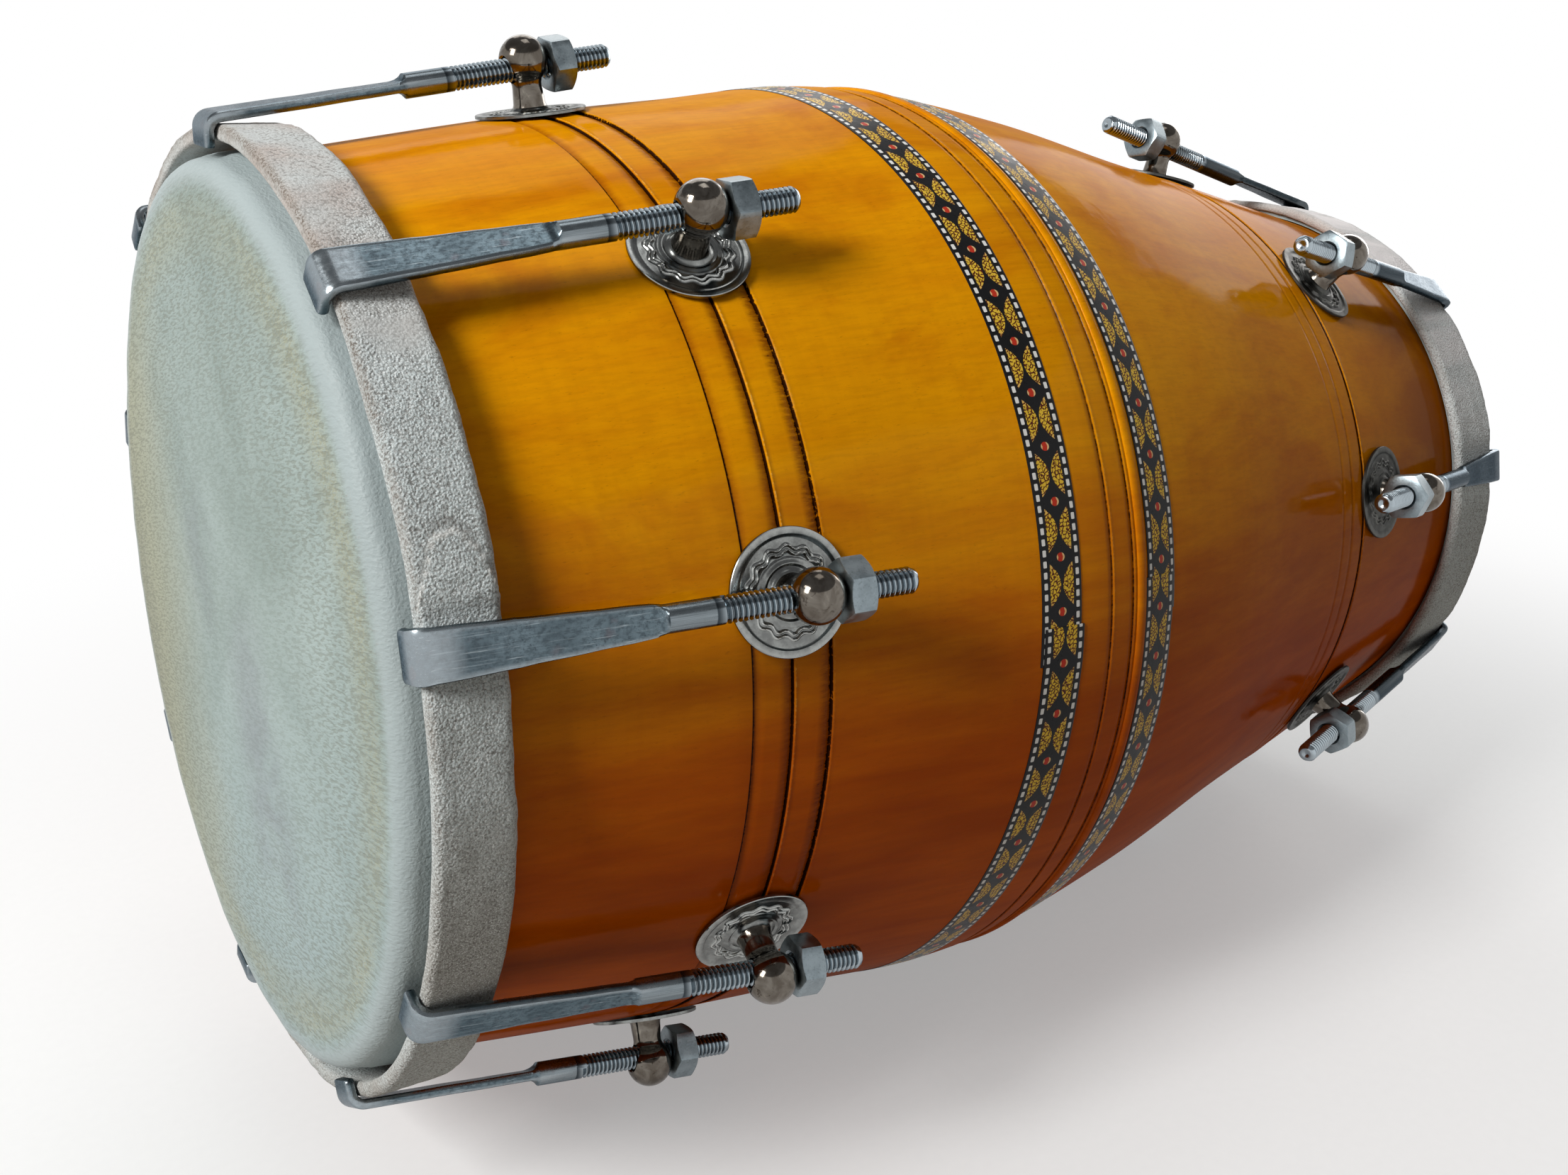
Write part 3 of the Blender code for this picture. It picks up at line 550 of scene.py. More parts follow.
def forged_finish():
    """Mottled zinc over forged steel, scratched lengthwise, bright on the arrises and the thread's crests, with
    painted shade in the thread's roots.
    """
    c = colours()
    f = Finish("forged_steel", Metallic=1.0, Specular_Tint=(0.50, 0.53, 0.56, 1.0))
    scratch = f.noise(3000.0, f.stretched((0.02, 1.0, 1.0)), detail=3.0, roughness=0.6)
    slanted = f.add("Mapping", {"Vector": f.place, "Rotation": (0.0, 0.0, 0.5), "Scale": (0.05, 1.0, 1.0)})
    scrape = f.noise(2200.0, slanted, detail=2.0)
    mottle = f.noise(850.0, f.stretched((0.75, 1.0, 1.0)), detail=6.0, roughness=0.72)
    speck = f.noise(2000.0, detail=3.0, roughness=0.7)
    cloud = f.noise(120.0, f.stretched((0.6, 1.0, 1.0)), detail=3.0)
    round_part = f.mark("rod")
    light = f.mix(f.span(cloud, 0.35, 0.65), c.steel, (0.135, 0.180, 0.205))
    colour = f.mix(f.span(mottle, 0.34, 0.60, 0.25, 1.0), (0.050, 0.066, 0.078), light)
    dark = f.math("MULTIPLY", f.span(speck, 0.58, 0.68, 0.0, 0.70), f.span(cloud, 0.42, 0.60))
    colour = f.mix(dark, colour, (0.022, 0.028, 0.034))
    colour = f.mix(f.span(scratch, 0.58, 0.72, 0.0, 0.35), colour, (0.36, 0.42, 0.45))
    colour = f.mix(f.span(scrape, 0.64, 0.74, 0.0, 0.45), colour, (0.46, 0.52, 0.55))
    colour = f.mix(f.span(scratch, 0.30, 0.42, 0.30, 0.0), colour, (0.022, 0.030, 0.038))
    smooth_rod = f.mix(f.span(scratch, 0.3, 0.7), (0.15, 0.175, 0.19), (0.24, 0.275, 0.295))
    colour = f.mix(round_part, colour, smooth_rod)
    bloom = f.noise(200.0, detail=2.0)
    colour = f.mix(f.span(bloom, 0.64, 0.74, 0.0, 0.35), colour, (0.13, 0.10, 0.11))
    colour = f.mix(f.math("MULTIPLY", f.mark("worn"), 0.85), colour, (0.62, 0.67, 0.70))
    # Darker at the small end
    colour = f.mix(f.mark("aged"), colour, (0.30, 0.30, 0.30), "MULTIPLY")
    # Painted shade: the thread's roots are painted dark, its crests bright zinc
    cut = f.span(f.mark("thread"), 0.05, 0.95)
    plated = f.mix(cut, (0.040, 0.050, 0.058), c.zinc)
    colour = f.mix(f.span(f.mark("thread"), 0.0, 0.10), colour, plated)
    rough = f.span(mottle, 0.35, 0.65, 0.30, 0.18)
    rough = f.math("SUBTRACT", rough, f.math("MULTIPLY", f.mark("thread"), 0.10))
    height = f.math("ADD", f.math("MULTIPLY", scratch, 0.5), mottle)
    return f.set(Base_Color=colour, Roughness=rough, Normal=f.bump(height, 0.000025, 0.6))


def nickel_finish():
    """Warm tarnished nickel with small pits and brown stains."""
    c = colours()
    f = Finish("tarnished_nickel", Metallic=1.0)
    cloud = f.noise(210.0, detail=4.0, roughness=0.6, distortion=0.6)
    stain = f.noise(520.0, detail=4.0, roughness=0.65, distortion=1.0)
    brush = f.noise(2200.0, f.stretched((1.0, 1.0, 0.08)), detail=2.0)
    colour = f.mix(f.span(cloud, 0.35, 0.65), c.nickel, (0.10, 0.085, 0.070))
    colour = f.mix(f.span(stain, 0.58, 0.70, 0.0, 0.75), colour, (0.034, 0.025, 0.018))
    colour = f.mix(f.span(cloud, 0.26, 0.40, 0.55, 0.0), colour, (0.36, 0.33, 0.27))
    rough = f.math("ADD", f.span(cloud, 0.3, 0.7, 0.08, 0.15), f.span(stain, 0.56, 0.7, 0.0, 0.16))
    height = f.math("ADD", f.math("MULTIPLY", stain, -0.6), f.math("MULTIPLY", brush, 0.15))
    return f.set(Base_Color=colour, Roughness=rough, Normal=f.bump(height, 0.000022, 0.4))


def washer_finish():
    """Pressed nickel of the washers, grey and dull in its folds, its raised lines bright with polish and a
    painted highlight.
    """
    f = Finish("pressed_nickel", Metallic=1.0, Specular_Tint=(0.6, 0.6, 0.6, 1.0))
    cloud = f.noise(300.0, detail=4.0, roughness=0.6)
    fine = f.noise(1800.0, detail=3.0)
    colour = f.mix(f.span(cloud, 0.35, 0.65), (0.27, 0.28, 0.27), (0.17, 0.175, 0.17))
    # Raised lines and rubbed ring: polished, and partly a painted highlight
    colour = f.mix(f.math("MULTIPLY", f.mark("ridge"), 0.75), colour, (0.56, 0.57, 0.55))
    colour = f.mix(f.span(fine, 0.56, 0.74, 0.0, 0.3), colour, (0.11, 0.105, 0.10))
    # Darker and rougher at the small end
    colour = f.mix(f.mark("aged"), colour, (0.30, 0.29, 0.28), "MULTIPLY")
    rough = f.math("ADD", f.span(cloud, 0.3, 0.7, 0.15, 0.26), f.math("MULTIPLY", f.mark("aged"), 0.16))
    return f.set(Base_Color=colour, Roughness=rough,
                 Normal=f.bump(f.math("ADD", cloud, f.math("MULTIPLY", fine, 0.3)), 0.00006, 0.5))


def zinc_finish():
    """Satin bluish zinc of the nuts."""
    c = colours()
    f = Finish("zinc_plate", Metallic=1.0)
    cloud = f.noise(260.0, detail=4.0, roughness=0.6)
    fine = f.noise(1600.0, detail=3.0)
    colour = f.mix(f.span(cloud, 0.35, 0.65), (0.20, 0.24, 0.26), (0.28, 0.33, 0.355))
    colour = f.mix(f.span(fine, 0.54, 0.70, 0.0, 0.4), colour, (0.10, 0.12, 0.13))
    return f.set(Base_Color=colour, Roughness=f.span(cloud, 0.3, 0.7, 0.30, 0.42),
                 Normal=f.bump(fine, 0.00004, 0.6))


def compound_finish():
    """Crumbled black tuning compound."""
    f = Finish("dried_compound")
    lumps = f.noise(160.0, detail=6.0, roughness=0.7)
    colour = f.mix(f.span(lumps, 0.35, 0.65), (0.012, 0.011, 0.010), (0.055, 0.048, 0.042))
    return f.set(Base_Color=colour, Roughness=f.span(lumps, 0.3, 0.7, 0.75, 0.95),
                 Normal=f.bump(lumps, 0.0008))


def tape_finish():
    """The printed ornament, drawn from the tape's own length (u) and width (v) in mm."""
    c = colours()
    f = Finish("ornament_tape", Specular_IOR_Level=0.12)
    parts = f.nodes.new("ShaderNodeSeparateXYZ")
    f.put(parts.inputs[0], f.add("UVMap", {}, uv_map="tape"))
    run, across = parts.outputs["X"], parts.outputs["Y"]
    period = sizes().pattern_length / MM
    cycle = f.math("MULTIPLY", f.math("SUBTRACT", f.math("FRACT", f.math("DIVIDE", run, period)), 0.5),
                   period)
    off = f.math("ABSOLUTE", across)

    def below(value, limit, soft):
        return f.span(value, limit - soft, limit + soft, 1.0, 0.0)

    def both(a, b):
        return f.math("MULTIPLY", a, b)

    # Dashes along both edges
    step = period / 5
    dash = f.math("MULTIPLY", f.math("SUBTRACT", f.math("FRACT", f.math("DIVIDE", run, step)), 0.5), step)
    box_x = f.math("MAXIMUM", f.math("SUBTRACT", f.math("ABSOLUTE", dash), 0.58), 0.0)
    box_y = f.math("MAXIMUM", f.math("SUBTRACT", f.math("ABSOLUTE", f.math("SUBTRACT", off, 4.95)), 0.26),
                   0.0)
    corner = f.math("SQRT", f.math("ADD", both(box_x, box_x), both(box_y, box_y)))
    dashes = below(corner, 0.26, 0.06)
    # Leaves, nearly straight towards the edge and bulging towards the middle
    reach = f.math("DIVIDE", cycle, 5.45)
    square = both(reach, reach)
    bulge = f.math("MULTIPLY_ADD", square, 3.15, 0.34)
    back = f.math("MULTIPLY_ADD", square, -0.22, 3.72)
    leaf = both(f.span(f.math("SUBTRACT", back, off), -0.07, 0.07),
                f.span(f.math("SUBTRACT", off, bulge), -0.07, 0.07))
    plane = f.add("CombineXYZ", {"X": run, "Y": across, "Z": 0.0})
    shift = f.noise(1.3, plane, detail=1.0)
    warped = f.add("VectorMath", {0: plane, 1: f.add("CombineXYZ", {"X": shift, "Y": shift, "Z": 0.0})},
                   operation="ADD")
    veins = f.add("TexVoronoi", {"Vector": warped, "Scale": 0.95}, feature="DISTANCE_TO_EDGE",
                  voronoi_dimensions="2D")
    gaps = f.noise(1.1, plane, detail=1.0)
    vein = both(below(veins, 0.15, 0.035), f.span(gaps, 0.34, 0.42))
    # Dots between the leaves
    gap_run = f.math("SUBTRACT", period / 2, f.math("ABSOLUTE", cycle))
    dot_r = f.math("SQRT", f.math("ADD", f.math("POWER", f.math("DIVIDE", gap_run, 1.12), 2.0),
                                  f.math("POWER", f.math("DIVIDE", across, 1.22), 2.0)))
    dot = below(dot_r, 1.0, 0.06)
    red = below(f.math("ABSOLUTE", f.math("MULTIPLY_ADD", gap_run, 0.30, across)), 0.74, 0.10)
    colour = f.mix(dashes, c.tape, (0.80, 0.80, 0.78))
    warm = f.mix(f.span(square, 0.25, 0.95, 0.0, 0.6), c.leaf, (0.76, 0.44, 0.20))
    colour = f.mix(leaf, colour, f.mix(vein, warm, (0.085, 0.012, 0.006)))
    colour = f.mix(dot, colour, f.mix(red, (0.74, 0.50, 0.24), c.dot))
    scuff = f.noise(0.35, plane, detail=4.0, roughness=0.7)
    colour = f.mix(f.span(scuff, 0.66, 0.78, 0.0, 0.25), colour, (0.20, 0.20, 0.22))
    return f.set(Base_Color=colour, Roughness=f.span(scuff, 0.3, 0.7, 0.26, 0.40),
                 Normal=f.bump(f.noise(0.8, plane, detail=3.0), 0.00006, 0.6))


def line_relief(x):
    """Height over the smooth surface in mm, and marks: root of a line, its slopes, its lip, its tear."""
    height, root, slope, lip, torn = 0.0, 0.0, 0.0, 0.0, 0.0
    for centre, before, after, depth, raised, tear, dark in LINES:
        away = (centre - x) / before if x <= centre else (x - centre) / after
        if away < 1.0:
            height -= depth * (1 - away) ** 1.9
            slope = max(slope, (1 - away) * dark)
            torn = tear
        width = 0.34 if x <= centre else min(0.34, after)
        root = max(root, (1 - smooth(abs(x - centre) / (2 * width))) * dark)
        beyond = (x - centre - after - 0.22) / 0.30
        if raised and abs(beyond) < 1.0:
            height += raised * (1 - beyond * beyond)
            lip = max(lip, (1 - abs(beyond)) * min(raised / 0.09, 1.0))
    away = (x - BEAD_PLACE) / BEAD_HALF_WIDTH
    if abs(away) < 1.0:
        height += BEAD_HEIGHT * math.sqrt(1 - away * away)
    return height, root, slope, lip, torn


class DHOLAK_OT_shell(bpy.types.Operator):
    """Turns the wooden shell with its lines and its bead"""
    bl_idname = "dholak.shell"
    bl_label = "Shell"

    SEGMENTS = 240

    def execute(self, context):
        length = DRUM_LENGTH / MM
        places = set(np.arange(4.5, length - 4.0, 3.4).round(3))
        for centre, before, after, *_ in LINES:
            places = {x for x in places if not centre - before - 1.2 < x < centre + after + 2.2}
            places |= {round(centre - before * k / 9, 3) for k in range(10)}
            places |= {round(centre - k, 3) for k in (0.12, 0.25)}
            places |= {round(centre + after * k / 4, 3) for k in range(1, 5)}
            places |= {round(centre + after + k, 3) for k in (0.08, 0.15, 0.22, 0.30, 0.38, 0.5, 1.4)}
        places = {x for x in places if abs(x - BEAD_PLACE) > BEAD_HALF_WIDTH + 0.3}
        places |= {round(BEAD_PLACE + BEAD_HALF_WIDTH * math.sin(math.radians(a)), 3)
                   for a in range(-90, 91, 15)}
        edge = BIG.edge_radius - EDGE_ROUND
        outline = arc(EDGE_ROUND, edge, EDGE_ROUND, 180, 96, 6)
        labels = ("line", "slope", "lip", "torn")
        marks = {label: [0.0] * len(outline) for label in labels}
        for x in sorted(places):
            height, *given = line_relief(x)
            outline.append((x * MM, shell_radius(x * MM) + height * MM))
            for label, value in zip(labels, given):
                marks[label].append(value)
        outline += arc(DRUM_LENGTH - EDGE_ROUND, SMALL.edge_radius - EDGE_ROUND, EDGE_ROUND, 84, 0, 6)
        bore = [(DRUM_LENGTH * (1 - k / 40)) for k in range(41)]
        outline += [(x, shell_radius(x) - WALL) for x in bore]
        values = {}
        for label, given in marks.items():
            given += [0.0] * (len(outline) - len(given))
            values[label] = np.repeat(given, self.SEGMENTS)

        def waver(row, x, radius, angle):
            drift = noise.noise(Vector((x * 14, math.cos(angle) * 2.0, math.sin(angle) * 2.0)))
            return x, radius + 0.00012 * drift

        rows = lathe_rows(outline, self.SEGMENTS, waver)
        mesh = grid_mesh("shell", rows, ring=True, marks=values)
        place("wooden_shell", mesh, settle(mesh, DRUM), "drum", wood_finish(), "shell")
        return {"FINISHED"}


class DHOLAK_OT_skins(bpy.types.Operator):
    """Stretches the two skins over the shell's edges"""
    bl_idname = "dholak.skins"
    bl_label = "Skins"

    SEGMENTS = 240

    def execute(self, context):
        material = skin_finish()
        for end in ENDS:
            self.stretch(end, material)
        return {"FINISHED"}

    def stretch(self, end, material):
        crown = sizes().crown
        face = -GAP - SKIN_THICKNESS
        side = end.edge_radius + GAP + SKIN_THICKNESS
        flat = side - SKIN_CORNER
        outer = []
        for k in range(1, 33):
            r = flat * (k / 33) ** 0.8
            outer.append((face - crown * (1 - (r / flat) ** 2), r))
        outer += arc(face + SKIN_CORNER, flat, SKIN_CORNER, 180, 92, 9)
        tail = end.rim_x + end.rim_width - 0.003
        outer += [(x, end.shell_radius(x) + GAP + SKIN_THICKNESS)
                  for x in np.linspace(0.006, tail, 6)]
        shy = len(outer)
        centre = (EDGE_ROUND, end.edge_radius - EDGE_ROUND)
        inner = [(x, end.shell_radius(x) + GAP) for x in np.linspace(tail, 0.006, 4)]
        inner += arc(*centre, EDGE_ROUND + GAP, 92, 180, 5)
        inner += [(-GAP - crown * (1 - (r / flat) ** 2), r) for r in (flat * 0.8, flat * 0.4, 0.003)]

        def waver(row, x, radius, angle):
            spot = Vector((math.cos(angle), math.sin(angle), 0.0)) * radius
            if row >= shy:
                return x, radius
            wrinkle = noise.noise(spot * 170) * 0.00007 + noise.noise(spot * 45) * 0.00016
            near_edge = smooth((radius - 0.86 * flat) / (0.14 * flat))
            around = Vector((math.cos(angle), math.sin(angle), 0.0))
            pleat = noise.noise(around * 9.0) * 0.00028
            down = smooth((x - face) / 0.006)
            gather = noise.noise(around * 34.0) * 0.00030 * smooth(x / 0.004)
            ragged = 0.0016 * noise.noise(spot * 60) if row == shy - 1 else 0.0
            return (x + (wrinkle + pleat * near_edge) * (1 - down) + ragged,
                    radius + (pleat + wrinkle + gather) * down)

        rows = lathe_rows(outer + inner, self.SEGMENTS, waver)
        edge = [min(r / side, 1.0) if k < shy else 1.0 for k, (_, r) in enumerate(outer + inner)]
        mesh = grid_mesh(f"skin_{end.name}", rows, capped=True,
                         marks={"edge": np.repeat(edge, self.SEGMENTS)})
        name = f"skin_{end.name}"
        place(f"stretched_{name}", mesh, settle(mesh, end.matrix), "drum", material, name)


class DHOLAK_OT_rims(bpy.types.Operator):
    """Wraps the two rims in wrinkled suede"""
    bl_idname = "dholak.rims"
    bl_label = "Rims"

    SEGMENTS = 420
    AROUND = 44
    FLAP_START = 4.0
    FLAP_BOW = 7.5

    def execute(self, context):
        material = suede_finish()
        for end in ENDS:
            self.wrap(end, material)
        return {"FINISHED"}

    def section(self, end):
        """Points round the band's section: nearly flat in front, round at the back."""
        outer, inner, nose = 0.0017, 0.0012, end.rim_thickness / 2
        top, low = end.rim_radius, end.rim_radius - end.rim_thickness
        front = end.rim_x
        back = end.rim_x + end.rim_width - nose
        flare = end.rim_flare
        loop = arc(front + inner, low + inner, inner, 270, 180, 5)
        loop += arc(front + outer, top - outer, outer, 180, 90, 6)
        start = front + outer
        loop += [(start + (back - start) * k / 14, top + flare * k / 14) for k in range(1, 14)]
        loop += arc(back, top - nose + flare, nose, 90, -90, 11)
        start = front + inner
        loop += [(back - (back - start) * k / 10, low + flare * (1 - k / 10)) for k in range(1, 10)]
        return loop

    def wrap(self, end, material):
        s = sizes()
        loop = self.section(end)
        count = len(loop)
        nose = end.rim_thickness / 2
        centre_x = end.rim_x + end.rim_width / 2
        low_edge = end.rim_radius - end.rim_thickness * 0.55
        points, edge, seams, unders, pales, fronts = [], [], [], [], [], []
        turns = {round(360.0 * i / self.SEGMENTS, 3) for i in range(self.SEGMENTS)}
        if end.side > 0:
            low, high = self.FLAP_START - 1.0, self.FLAP_START + self.FLAP_BOW + 2.0
            turns = {t for t in turns if not low < t < high} | set(np.arange(low, high, 0.25).round(3))
        for degrees in sorted(turns):
            angle = math.radians(degrees)
            if end.side < 0:
                degrees = 180 - degrees
            around = Vector((math.cos(angle), math.sin(angle), 0.0))
            front_shift = s.rim_waver * noise.noise(around * 3.1 + Vector((0, 0, end.side * 5)))
            back_shift = s.rim_waver * 1.5 * noise.noise(around * 4.3 + Vector((3, 1, end.side * 7)))
            front_shift = min(max(front_shift, -0.0002), s.rim_waver)
            near_hook = min(abs((degrees - a + 180) % 360 - 180) for a in end.stations)
            free = smooth((math.radians(near_hook) * end.rim_radius - 0.0066) / 0.0045)
            # Painted light: paler towards the top of the small rim
            pale = 0.0 if end.side > 0 else 0.9 * smooth((math.sin(angle) + 0.2) / 0.9)
            pales += [pale] * count
            ring = []
            for k, (x, r) in enumerate(loop):
                share = (x - end.rim_x) / end.rim_width
                before, after = loop[k - 1], loop[(k + 1) % count]
                normal = Vector((before[1] - after[1], after[0] - before[0])).normalized()
                outside = smooth((r - (end.rim_radius - nose * 1.3)) / (nose * 0.6))
                spot = Vector((x, r * math.cos(angle), r * math.sin(angle)))
                relief = (1.1 * noise.noise(spot * 62) + 0.75 * noise.noise(spot * 210)
                          + 0.55 * noise.noise(spot * 520))
                lift = s.nap_depth * relief * (0.35 + 0.65 * outside) * free
                seam = under = 0.0
                if end.side > 0:
                    raised, seam, under = self.flap(degrees, x - centre_x, end)
                    lift += raised * outside * free
                fringe = smooth((end.rim_x + 0.0016 - x) / 0.0012) * smooth((r - low_edge) / 0.0012)
                fronts.append(fringe * (0.5 + 0.5 * smooth((math.sin(angle) - 0.2) / 0.4)))
                seams.append(seam * outside * free)
                unders.append(under * outside * free)
                lift -= PRESSED * outside * (1 - free)
                x += front_shift * (1 - share) + back_shift * share
                ring.append((x + normal[0] * lift, r + normal[1] * lift))
            points.append([(x, -r * math.cos(angle), r * math.sin(angle)) for x, r in ring])
            edge += [smooth((abs(x - centre_x) / (end.rim_width / 2) - 0.72) / 0.28) for x, _ in ring]
        mesh = grid_mesh(f"rim_{end.name}", points, ring=True, marks={
            "edge": edge, "seam": seams, "under": unders, "pale": pales, "front": fronts})
        name = f"rim_{end.name}"
        place(f"suede_{name}", mesh, settle(mesh, end.matrix), name, material, name)

    def flap(self, degrees, across, end):
        """The leather's overlapping end: its height, the pale outline and the shade round that."""
        degrees = (degrees + 180) % 360 - 180
        side = abs(across / (end.rim_width / 2))
        bow = self.FLAP_START + self.FLAP_BOW * max(1 - side ** 2.4, 0.0)
        bow += 0.7 * noise.noise(Vector((across * 420, 3.0, 0.0)))
        away = degrees - bow
        stop = smooth((degrees + 3.0) / 7.0)
        seam = max(1 - abs(away) / 0.55, 0.0)
        under = max(1 - abs(away - 0.9) / 0.9, 0.0)
        return (0.00030 * smooth(0.5 - away / 0.5) + 0.00030 * seam) * stop, seam, under


def rounded_section(half_width, reach, top, columns):
    """Round bar flattened at +-top: points (across, up) with softened corners."""
    points = []
    for k in range(columns):
        angle = FULL_TURN * (k + 0.5) / columns
        up = reach * math.sin(angle)
        soft = (abs(up / top) ** 9 + 1) ** (1 / 9)
        points.append((half_width * math.cos(angle), up / soft))
    return points


class DHOLAK_OT_hook_bolts(bpy.types.Operator):
    """Forges the hook bolts, with their threads, blades and lips"""
    bl_idname = "dholak.hook_bolts"
    bl_label = "Hook bolts"

    COLUMNS = 28
    # How far each blade is turned about its own rod, in degrees
    ROLLS = {"big": (0.6, -0.8, 0.5, -0.5, 0.8, -0.7, 4.0, -0.4, 0.7),
             "small": (0.4, -0.5, 0.3, -0.3, 0.5, -0.4, 0.6, -0.3, 0.4)}

    def execute(self, context):
        material = forged_finish()
        for end in ENDS:
            mesh = self.forge(end)
            for index, roll in enumerate(self.ROLLS[end.name]):
                name = f"hook_bolt_{end.name}_{index + 1}"
                turned = end.rod_axis(index) @ Matrix.Rotation(math.radians(roll), 4, "X")
                place(f"forged_{name}", mesh, turned, name, material, name)
        return {"FINISHED"}

    def blade_rows(self, end):
        """Rings from the shank to the end of the lip, each a list of points."""
        columns = self.COLUMNS
        along = Vector((1.0, 0.0, 0.0))
        forged = end.forged
        root, wide = 0.0036, 0.0057
        last = end.blade_reach
        rows = []

        def ring(points, origin, tangent):
            up = Vector((-tangent.z, 0.0, tangent.x))
            rows.append([origin + Vector((0.0, across, 0.0)) + up * height
                         for across, height in points])

        places = list(np.linspace(forged - 0.0008, forged + 0.0042, 15))
        places += list(np.linspace(forged + 0.0075, last, 13))
        for s in places:
            t = (s - forged) / 0.0032
            # The die's scoop: the flat face starts as a hollow cut into the round
            top = ROD_RADIUS - (ROD_RADIUS - BLADE_THICKNESS / 2) * math.sqrt(
                max(0.0, 1 - (1 - min(max(t, 0.0), 1.0)) ** 2))
            top = top if t > 0 else ROD_RADIUS * 1.6
            run = min(max((s - forged) / (last - 0.004 - forged), 0.0), 1.0)
            half = ROD_RADIUS + (root - ROD_RADIUS) * smooth(t) + (wide - root) * run
            shake = Vector((s * 90, end.side * 3.0, 0.0))
            half += 0.00016 * noise.noise(shake * 2.2) * smooth(t)
            origin = along * -s + Vector((0, 0, 0.00012 * noise.noise(shake) * smooth(t)
                                          * smooth((last - s) / 0.012)))
            ring(rounded_section(half, ROD_RADIUS, top, columns), origin, along)
        bend = BEND_INSIDE + BLADE_THICKNESS / 2
        centre = Vector((-last, 0.0, -bend))
        total = math.pi / 2 - end.rod_tilt
        for k in range(1, 10):
            turn = total * k / 9
            out = Vector((-math.sin(turn), 0.0, math.cos(turn)))
            tangent = Vector((math.cos(turn), 0.0, math.sin(turn)))
            swell = wide + 0.00025 * math.sin(math.pi * k / 9)
            ring(rounded_section(swell, ROD_RADIUS, BLADE_THICKNESS / 2, columns),
                 centre + out * bend, tangent)
        lip = end.rim_thickness + HOOK_GAP + LIP_PAST_RIM - BEND_INSIDE
        for k, (share, half, top) in enumerate(((0.5, 1.0, 1.0), (0.78, 1.0, 1.0), (0.92, 0.97, 0.96),
                                                (0.985, 0.92, 0.86), (1.0, 0.86, 0.66))):
            ring(rounded_section(wide * half, ROD_RADIUS * top, BLADE_THICKNESS / 2 * top, columns),
                 centre + out * bend - tangent * lip * share, tangent)
        return rows

    def forge(self, end):
        s = sizes()
        columns = self.COLUMNS
        pitch = s.thread_pitch
        crest = ROD_RADIUS - 0.00003
        tip = end.tip_reach
        start = tip - 0.0003
        thread_length = start + s.thread_from_eye
        turns = int(thread_length / pitch) - 1
        levels = [t + share for t in range(turns) for share in (0.0, 0.14, 0.45, 0.70)] + [turns]
        heights = [crest, crest, crest - s.thread_depth, crest - s.thread_depth] * turns + [crest]
        points, thread = [], []

        def put(ring, mark):
            first = len(points)
            points.extend(tuple(p) for p in ring)
            thread.extend([mark] * len(ring))
            return list(range(first, first + len(ring)))

        def circle(x, radius):
            return [(x, radius * math.cos(FULL_TURN * (k + 0.5) / columns),
                     radius * math.sin(FULL_TURN * (k + 0.5) / columns)) for k in range(columns)]

        tip_rings = [put(circle(tip - 0.0003, 0.0006), 0.7), put(circle(tip, 0.0011), 0.7),
                     put(circle(tip, 0.0022), 0.7), put(circle(tip - 0.00012, 0.00245), 0.7)]
        grid = []
        for level, height in zip(levels, heights):
            row = []
            for k in range(columns):
                run = pitch * (level + 1 - k / columns)
                angle = FULL_TURN * (k + 0.5) / columns
                fade = smooth((thread_length - run) / (1.6 * pitch))
                radius = crest - (crest - height) * fade
                radius = min(radius, 0.00248 + 0.9 * run)
                row.append((start - run, radius * math.cos(angle), radius * math.sin(angle)))
            # The thread mark is 1 on the crests and 0.30 in the roots, where the finish paints shade, and 0.6
            # on the last turns
            grid.append(put(row, 0.6 if level > turns - 1.3 else 1.0 if height == crest else 0.30))
        body = [put(circle(-s.thread_from_eye - 0.0012, ROD_RADIUS), 0.0),
                put(circle(-s.thread_from_eye - 0.0016, ROD_RADIUS), 0.0)]
        body += [put(row, 0.0) for row in self.blade_rows(end)]
        faces = [tip_rings[0][::-1]]

        def skin(near, far):
            for k in range(columns):
                j = (k + 1) % columns
                faces.append((near[k], near[j], far[j], far[k]))

        for near, far in zip(tip_rings, tip_rings[1:]):
            skin(near, far)
        for near, far in zip(body, body[1:]):
            skin(near, far)
        faces.append(body[-1])
        last, top = columns - 1, len(grid) - 1
        for near, far in zip(grid, grid[1:]):
            for k in range(last):
                faces.append((near[k], near[k + 1], far[k + 1], far[k]))
        # The helix closes on itself one turn further along
        for level in range(4, top):
            faces.append((grid[level][last], grid[level - 4][0], grid[level - 3][0],
                          grid[level + 1][last]))
        ring, first = tip_rings[-1], grid[0]
        for k in range(last):
            faces.append((ring[k], ring[k + 1], first[k + 1], first[k]))
        faces.append((ring[last], ring[0], first[0], *(grid[j][last] for j in (4, 3, 2, 1, 0))))
        ring, final = body[0], grid[top]
        for k in range(last):
            faces.append((final[k], final[k + 1], ring[k + 1], ring[k]))
        faces.append((final[last], *(grid[top - j][0] for j in (4, 3, 2, 1, 0)), ring[0], ring[last]))
        worn = [0.0] * len(points)
        rod = [1.0 - smooth((-p[0] - end.forged + 0.0004) / 0.0012) for p in points]
        for row in body[2:]:
            for k, index in enumerate(row):
                angle = FULL_TURN * (k + 0.5) / columns
                worn[index] = smooth(1 - abs(abs(math.sin(angle)) - 0.42) / 0.16)
                x, _, up = points[index]
                bend = smooth((-x - end.blade_reach + 0.0050) / 0.0025) * smooth((up + 0.0040) / 0.0020)
                worn[index] = max(worn[index], 0.45 * bend)
        return mesh_from(f"hook_bolt_{end.name}", points, faces, {
            "thread": thread, "worn": worn, "rod": rod, "aged": [0.0 if end.side > 0 else 1.0] * len(points)})


